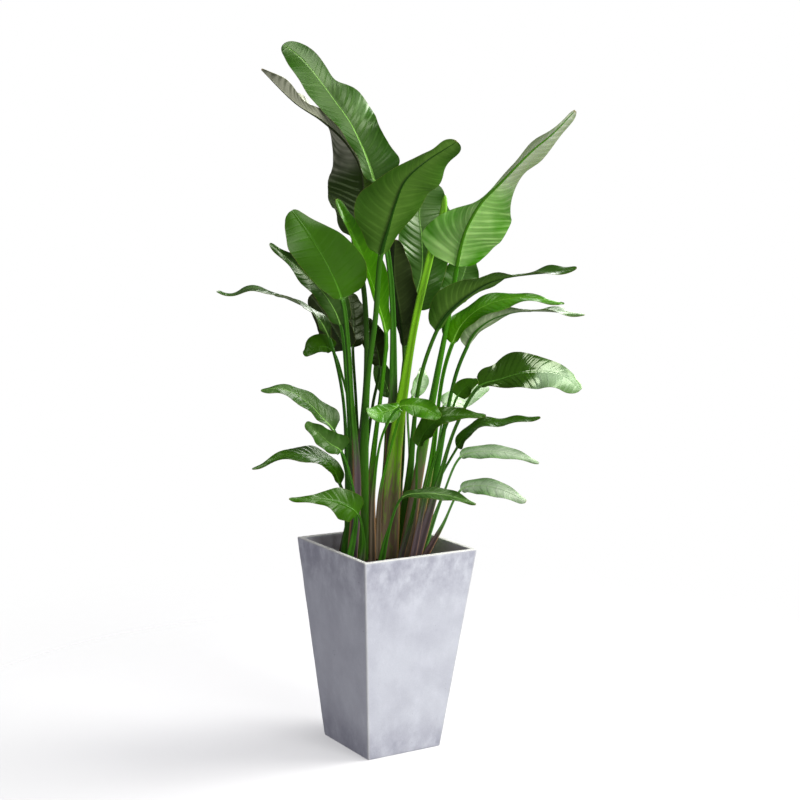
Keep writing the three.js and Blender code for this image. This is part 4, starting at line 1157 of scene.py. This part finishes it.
    def drill(self, piece: bpy.types.Object) -> None:
        """Cuts the drain holes through the floor.

        Args:
            piece: the shell.
        """
        sides, holes, beyond = 32, 4, 5
        turn = np.linspace(0, 2 * np.pi, sides, endpoint=False)
        circle = np.stack([np.cos(turn), np.sin(turn)], 1) * self.drain_radius
        heights = (-beyond, self.floor + beyond)
        rods = []
        for a in np.arange(holes) * math.pi / 2:
            middle = np.array([math.cos(a), math.sin(a)]) * self.drain_offset
            rods += [np.column_stack([circle + middle, np.full(sides, z)]) for z in heights]
            rods += [[(*middle, z)] for z in heights]
        quads, fans = tube_faces(2, sides)
        first = (2 * sides + 2) * np.arange(holes)[:, None, None]
        drill = make_object("drain_drill", np.vstack(rods) * MM, (quads + first).reshape(-1, 4),
                            (fans + first).reshape(-1, 3), piece.data.materials[0])
        cut = piece.modifiers.new("drain_holes", "BOOLEAN")
        cut.operation, cut.solver, cut.object = "DIFFERENCE", "EXACT", drill
        with_holes = bpy.data.meshes.new_from_object(
            piece.evaluated_get(bpy.context.evaluated_depsgraph_get()))
        piece.modifiers.clear()
        piece.data = with_holes
        bpy.data.objects.remove(drill)


@dataclass(frozen=True)
class Soil:
    """The soil, crowned in the middle, with loose crumbs and bits of bark on it.

    Attributes:
        planter: what holds it.
        edge_height: its height at the wall.
        crown: how much higher the middle is.
        cells: grid cells across.
        loose: how many loose bits lie on it.
        gap: how far it stays clear of the planter.
        finish: what it is made of.
    """

    planter: Planter
    edge_height: float = 434
    crown: float = 8
    cells: int = 150
    loose: int = 420
    gap: float = 0.4
    finish: PottingSoil = field(default_factory=PottingSoil)

    def inner_half(self, z: float) -> float:
        """Half the planter's inner width at a height."""
        return self.planter.half(z) - self.planter.wall

    def height(self, x: np.ndarray, y: np.ndarray) -> np.ndarray:
        """The top's height: a crown that falls off with the square of the larger of x and y, and crumbs
        as sums of waves 45, 15 and 7 mm long.

        Args:
            x, y: places on the bed.

        Returns:
            The height at each place.
        """
        share = np.maximum(np.abs(x), np.abs(y)) / self.inner_half(self.edge_height)
        place = np.stack([x, y, np.zeros_like(x)], -1)
        crumbs = (waves(place, 45, 21) * 1.1 + waves(place, 15, 22, 9) * 0.9
                  + np.abs(waves(place, 7, 23, 11)) * 1.1)
        return self.edge_height + self.crown * (1 - share ** 2) + crumbs - 0.8

    def build(self) -> list:
        """Makes the bed in place of its node, and the loose bits. The bed is a grid with its corners
        drawn in by 2 %, closed by walls and by a fan to one point on the planter's floor.

        Returns:
            The two pieces.
        """
        material = self.finish.build()
        half = self.inner_half(self.edge_height) - self.gap
        even = np.linspace(-1, 1, self.cells + 1)
        u, v = np.meshgrid(even, even, indexing="ij")
        round_off = 1 - 0.02 * (np.abs(u) * np.abs(v)) ** 12
        x, y = u * half * round_off, v * half * round_off
        top = np.stack([x, y, self.height(x, y)], -1).reshape(-1, 3)
        number = np.arange(len(top)).reshape(u.shape)
        quads = np.stack([number[:-1, :-1], number[1:, :-1], number[1:, 1:], number[:-1, 1:]], -1)
        rim = np.concatenate([number[:-1, 0], number[-1, :-1], number[:0:-1, -1], number[0, :0:-1]])
        floor = self.planter.floor
        low = top[rim].copy()
        low[:, :2] *= (self.inner_half(floor) - self.gap) / half
        low[:, 2] = floor + self.gap
        ring = len(top) + np.arange(len(rim))
        after = np.roll(ring, -1)
        sides = np.stack([rim, ring, after, np.roll(rim, -1)], 1)
        centre = np.full(len(rim), len(top) + len(rim))
        bed = make_object("soil_bed", np.vstack([top, low, [[0, 0, floor + self.gap]]]) * MM,
                          np.vstack([quads.reshape(-1, 4), sides]), np.stack([after, ring, centre], 1),
                          material)
        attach(bed, "root")
        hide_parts("soil")
        return [bed, self.crumbs(material, half)]

    def crumbs(self, material: bpy.types.Material, half: float) -> bpy.types.Object:
        """The loose bits: stretched twenty-sided lumps with shaken corners, half sunk in the soil.

        Args:
            material: the soil's finish.
            half: half the width that they lie on.

        Returns:
            The piece.
        """
        draw = np.random.default_rng(31)
        g = (1 + math.sqrt(5)) / 2
        lump = unit(np.array([(-1, g, 0), (1, g, 0), (-1, -g, 0), (1, -g, 0), (0, -1, g), (0, 1, g),
                              (0, -1, -g), (0, 1, -g), (g, 0, -1), (g, 0, 1), (-g, 0, -1), (-g, 0, 1)]))
        sides = np.array([
            (0, 11, 5), (0, 5, 1), (0, 1, 7), (0, 7, 10), (0, 10, 11), (1, 5, 9), (5, 11, 4),
            (11, 10, 2), (10, 7, 6), (7, 1, 8), (3, 9, 4), (3, 4, 2), (3, 2, 6), (3, 6, 8),
            (3, 8, 9), (4, 9, 5), (2, 4, 11), (6, 2, 10), (8, 6, 7), (9, 8, 1)])
        n, corners = self.loose, len(lump)
        size = draw.uniform(1.2, 3.4, (n, 1)) * draw.choice([1, 1, 1, 1.7], (n, 1))
        shape = np.column_stack([draw.uniform(low, high, n) for low, high in (
            (0.9, 2.4), (0.7, 1.2), (0.45, 0.9))])
        bits = lump * (1 + draw.uniform(-0.28, 0.28, (n, corners, 1))) * (size * shape)[:, None]
        turn = draw.uniform(0, 2 * np.pi, n)
        c, s = np.cos(turn)[:, None], np.sin(turn)[:, None]
        x, y = bits[..., 0] * c - bits[..., 1] * s, bits[..., 0] * s + bits[..., 1] * c
        at = draw.uniform(-1, 1, (n, 2)) * (half - 9)
        z = bits[..., 2] + self.height(at[:, 0], at[:, 1])[:, None] + 0.2
        points = np.stack([x + at[:, :1], y + at[:, 1:], z], -1).reshape(-1, 3)
        faces = (sides + corners * np.arange(n)[:, None, None]).reshape(-1, 3)
        piece = make_object("soil_crumbs", points * MM, np.zeros((0, 4), int), faces, material)
        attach(piece, "root")
        return piece


def stand(name: str, data: bpy.types.ID, matrix: Matrix) -> bpy.types.Object:
    """Puts a lamp or a camera into the scene.

    Args:
        name: its name.
        data: the lamp or camera.
        matrix: where it stands and how it is turned, in the plant's view frame.

    Returns:
        The object.
    """
    thing = bpy.data.objects.new(name, data)
    thing.matrix_world = Matrix.Rotation(PLANT_TURN, 4, "Z") @ matrix
    bpy.context.scene.collection.objects.link(thing)
    return thing


def facing(way: Vector) -> Matrix:
    """The turn of a lamp whose back looks along a way."""
    return way.to_track_quat("Z", "Y").to_matrix().to_4x4()


class Reach(Enum):
    """What a lamp reaches: everything, all but the reflections, or the reflections alone."""

    ALL = "all"
    MATT = "matt"
    SHINE = "shine"


@dataclass(frozen=True)
class Panel:
    """A square soft light.

    Attributes:
        name: its name.
        place: its middle, in the plant's view frame, in metres.
        aim: the point that it faces.
        power: its power in watts.
        size: its width in metres.
        reach: what it reaches.
    """

    name: str
    place: tuple
    aim: tuple
    power: float
    size: float
    reach: Reach = Reach.ALL

    def build(self) -> None:
        """Makes the light."""
        lamp = bpy.data.lights.new(self.name, "AREA")
        lamp.energy, lamp.size = self.power, self.size
        place = Vector(self.place)
        light = stand(self.name, lamp, Matrix.Translation(place) @ facing(place - Vector(self.aim)))
        light.visible_glossy = self.reach is not Reach.MATT
        light.visible_diffuse = light.visible_transmission = self.reach is not Reach.SHINE


@dataclass(frozen=True)
class Studio:
    """The pale floor, the soft lights and the camera.

    Attributes:
        eye: the camera's place in the plant's view frame, in metres.
        tilt: how far it looks down, in degrees.
        roll: how far it leans, in degrees.
        lens: its focal length on a 36 mm frame.
        sun_way: where the sun stands, as seen from the plant.
        sun_strength, sun_angle: its strength, and how wide it is in degrees.
        panels: the soft lights.
        floor_radius: the floor disc's radius in metres.
        floor_colour, floor_shade: the floor's paint as it looks, and as far as it throws light back.
    """

    eye: tuple = (0.025, -3.665, 1.32)
    tilt: float = 7.8
    roll: float = 1.3
    lens: float = 72
    sun_way: tuple = (0.85, 0.15, 0.55)
    sun_strength: float = 1.8
    sun_angle: float = 30
    panels: tuple = (
        Panel("window_panel", place=(1.9, 0.9, 2.3), aim=(0.05, 0, 1.2), power=55, size=1.3),
        Panel("ceiling_panel", place=(0.8, -0.6, 2.9), aim=(0.1, 0, 1.0), power=18, size=1.2),
        Panel("front_panel", place=(2.0, -2.4, 1.5), aim=(0, 0, 0.8), power=64, size=1.6,
              reach=Reach.MATT),
        Panel("glare_panel", place=(1.1, 1.7, 2.5), aim=(0, 0, 1.0), power=90, size=1.7,
              reach=Reach.SHINE),
        Panel("overhead_panel", place=(-0.6, -0.8, 2.8), aim=(0.2, -0.1, 0.8), power=24, size=0.9,
              reach=Reach.SHINE))
    floor_radius: float = 4
    floor_colour: str = "f6f6f6"
    floor_shade: str = "b8b8b6"

    def build(self) -> None:
        """Makes the floor, the world's light, the lamps and the camera."""
        self.floor()
        self.world()
        sun = bpy.data.lights.new("window_sun", "SUN")
        sun.energy, sun.angle = self.sun_strength, math.radians(self.sun_angle)
        sun.color = (1.0, 0.985, 0.95)
        stand("window_sun", sun, facing(Vector(self.sun_way)))
        for panel in self.panels:
            panel.build()
        lens = bpy.data.cameras.new("camera")
        lens.lens, lens.sensor_width = self.lens, 36
        tilted = Matrix.Rotation(math.radians(90 - self.tilt), 4, "X")
        turned = tilted @ Matrix.Rotation(math.radians(self.roll), 4, "Z")
        camera = stand("camera", lens, Matrix.Translation(Vector(self.eye)) @ turned)
        bpy.context.scene.camera = camera
        bpy.context.scene.view_settings.view_transform = "Standard"

    def floor(self) -> None:
        """Makes the floor, a wide disc of matt pale paint with a faint unevenness. It fades out with
        the distance from the object, so that no horizon shows, and throws back little light."""
        material, node = new_material("pale_floor")
        place = node("TexCoord").outputs["Object"]
        cloud = node("TexNoise", place, Scale=1.5, Detail=2.0)
        paint = node("Mix RGBA", node("LightPath").outputs["Is Camera Ray"], linear(self.floor_shade),
                     linear(self.floor_colour))
        shader = node("BsdfPrincipled", paint, Roughness=node("MapRange", cloud, 0, 1, 0.85, 0.95),
                      Specular_IOR_Level=0.1)
        gone = node("MapRange SMOOTHSTEP", node("VectorMath LENGTH", place), 0.3, 1.8, 0.35)
        node("OutputMaterial", node("MixShader", gone, shader, node("BsdfTransparent")))
        sides = 128
        k = np.arange(sides)
        turn = np.linspace(0, 2 * np.pi, sides, endpoint=False)
        rim = np.stack([np.cos(turn), np.sin(turn), np.zeros(sides)], 1) * self.floor_radius
        fan = np.stack([k, (k + 1) % sides, np.full(sides, sides)], 1)
        make_object("studio_floor", np.vstack([rim, [[0, 0, 0]]]), np.zeros((0, 4), int), fan,
                             material)

    def world(self) -> None:
        """Lights the scene evenly from all round, dimmer in reflections, before a white backdrop."""
        world = bpy.data.worlds.new("studio_air")
        bpy.context.scene.world = world
        world.use_nodes = True
        world.node_tree.nodes.clear()
        node = partial(add, world.node_tree)
        air, dim, backdrop = (node("Background", linear(colour), strength) for colour, strength in (
            ("eeecf6", 0.42), ("f4f2ec", 0.1), ("ffffff", 1.0)))
        path = node("LightPath").outputs
        around = node("MixShader", path["Is Glossy Ray"], air, dim)
        node("OutputWorld", node("MixShader", path["Is Camera Ray"], around, backdrop))


# Every foot colour is painted darker as the shade among the crowded stalks at the soil.
FINISHES = (
    # Painted shade: leaves that stand in shade, painted nearly black-green.
    LeafFinish(Tone.DARK, upper="1a2608", upper_light="2a3a12", under="1e2a0a", under_light="3a4a20",
               rib="3f6a1c", keel="1c3608", stalk="3a6a1a", foot="5c5254", rib_fade=0.8),
    LeafFinish(Tone.DEEP, upper="2a5202", upper_light="366408", under="35600c", under_light="5c842e",
               rib="4f8a1e", keel="1f4a06", stalk="3f7c1c", foot="5c4e52", rib_fade=0.95, veining=0.2),
    # Its outer part, olive with pale grey-beige stripes, is partly a painted sheen.
    LeafFinish(Tone.AGED, upper="2c4a10", upper_light="48682c", under="284404", under_light="385208",
               rib="6a8a3c", keel="34401c", stalk="3f7020", foot="5c4e52", veining=1.0,
               vein_power=1.6, beyond="3c4628", beyond_light="a8aa92", turn=(0.34, 0.48)),
    # Painted glare and glow: small lit leaves painted pale on both sides.
    LeafFinish(Tone.PALE, upper="709c5a", upper_light="c8dcba", under="709c5a", under_light="c8dcba",
               rib="9cc878", keel="4f7a3c", stalk="468a22", foot="60504f"),
    LeafFinish(Tone.MATURE, upper="2c5610", upper_light="4c7030", under="48702a", under_light="b0be98",
               rib="96d060", keel="356a12", stalk="468a22", foot="60504f", rib_fade=0.05),
    LeafFinish(Tone.FRESH, upper="347000", upper_light="56980c", under="468c0c", under_light="b4dc7c",
               rib="8cc848", keel="3a7c08", stalk="4c9418", foot="6a5e4c", glow=0.06),
    # A painted glow of light shining through in the pale under_light, painted glare in the beyond
    # colours.
    LeafFinish(Tone.LIT, upper="367204", upper_light="529812", under="4a9a04", under_light="bce88a",
               rib="8cc848", keel="4e8c14", stalk="4c9418", foot="6a5e4c", glow=0.06, veining=0.5,
               vein_power=4.0, beyond="8ca070", beyond_light="c4ceb0", turn=(0.48, 0.66)),
    # Painted glare: the pale green beyond colours on the blade's outer part.
    LeafFinish(Tone.GLOSSY, upper="2c5004", upper_light="3c6a10", under="35600c", under_light="5c842e",
               rib="5f9a34", keel="1f4a06", stalk="3f7c1c", foot="5c4e52", veining=0.3, gloss=0.1,
               shine=1.0, beyond="5a8240", beyond_light="a9c79a", turn=(0.6, 0.7)),
    LeafFinish(Tone.YOUNG, upper="66a414", upper_light="84b41c", under="4f9410", under_light="84b41c",
               rib="9cc832", keel="6fa81a", stalk="74ac14", foot="6a5a48", glow=0.08),
)


def main() -> None:
    """Builds the planter, the soil, the leaves and the studio, and reports each piece."""
    logging.basicConfig(level=logging.INFO, format="%(name)s: %(message)s")
    Studio().build()
    planter = Planter()
    built = [planter.build(), *Soil(planter).build()]
    finishes = {finish.tone: finish.build() for finish in FINISHES}
    built += [leaf.build(finishes[leaf.tone]) for leaf in LEAVES]
    for piece in built:
        log.info("%s: %d faces, finish %s", piece.name, len(piece.data.polygons),
                 piece.data.materials[0].name)


if __name__ == "__main__":
    main()
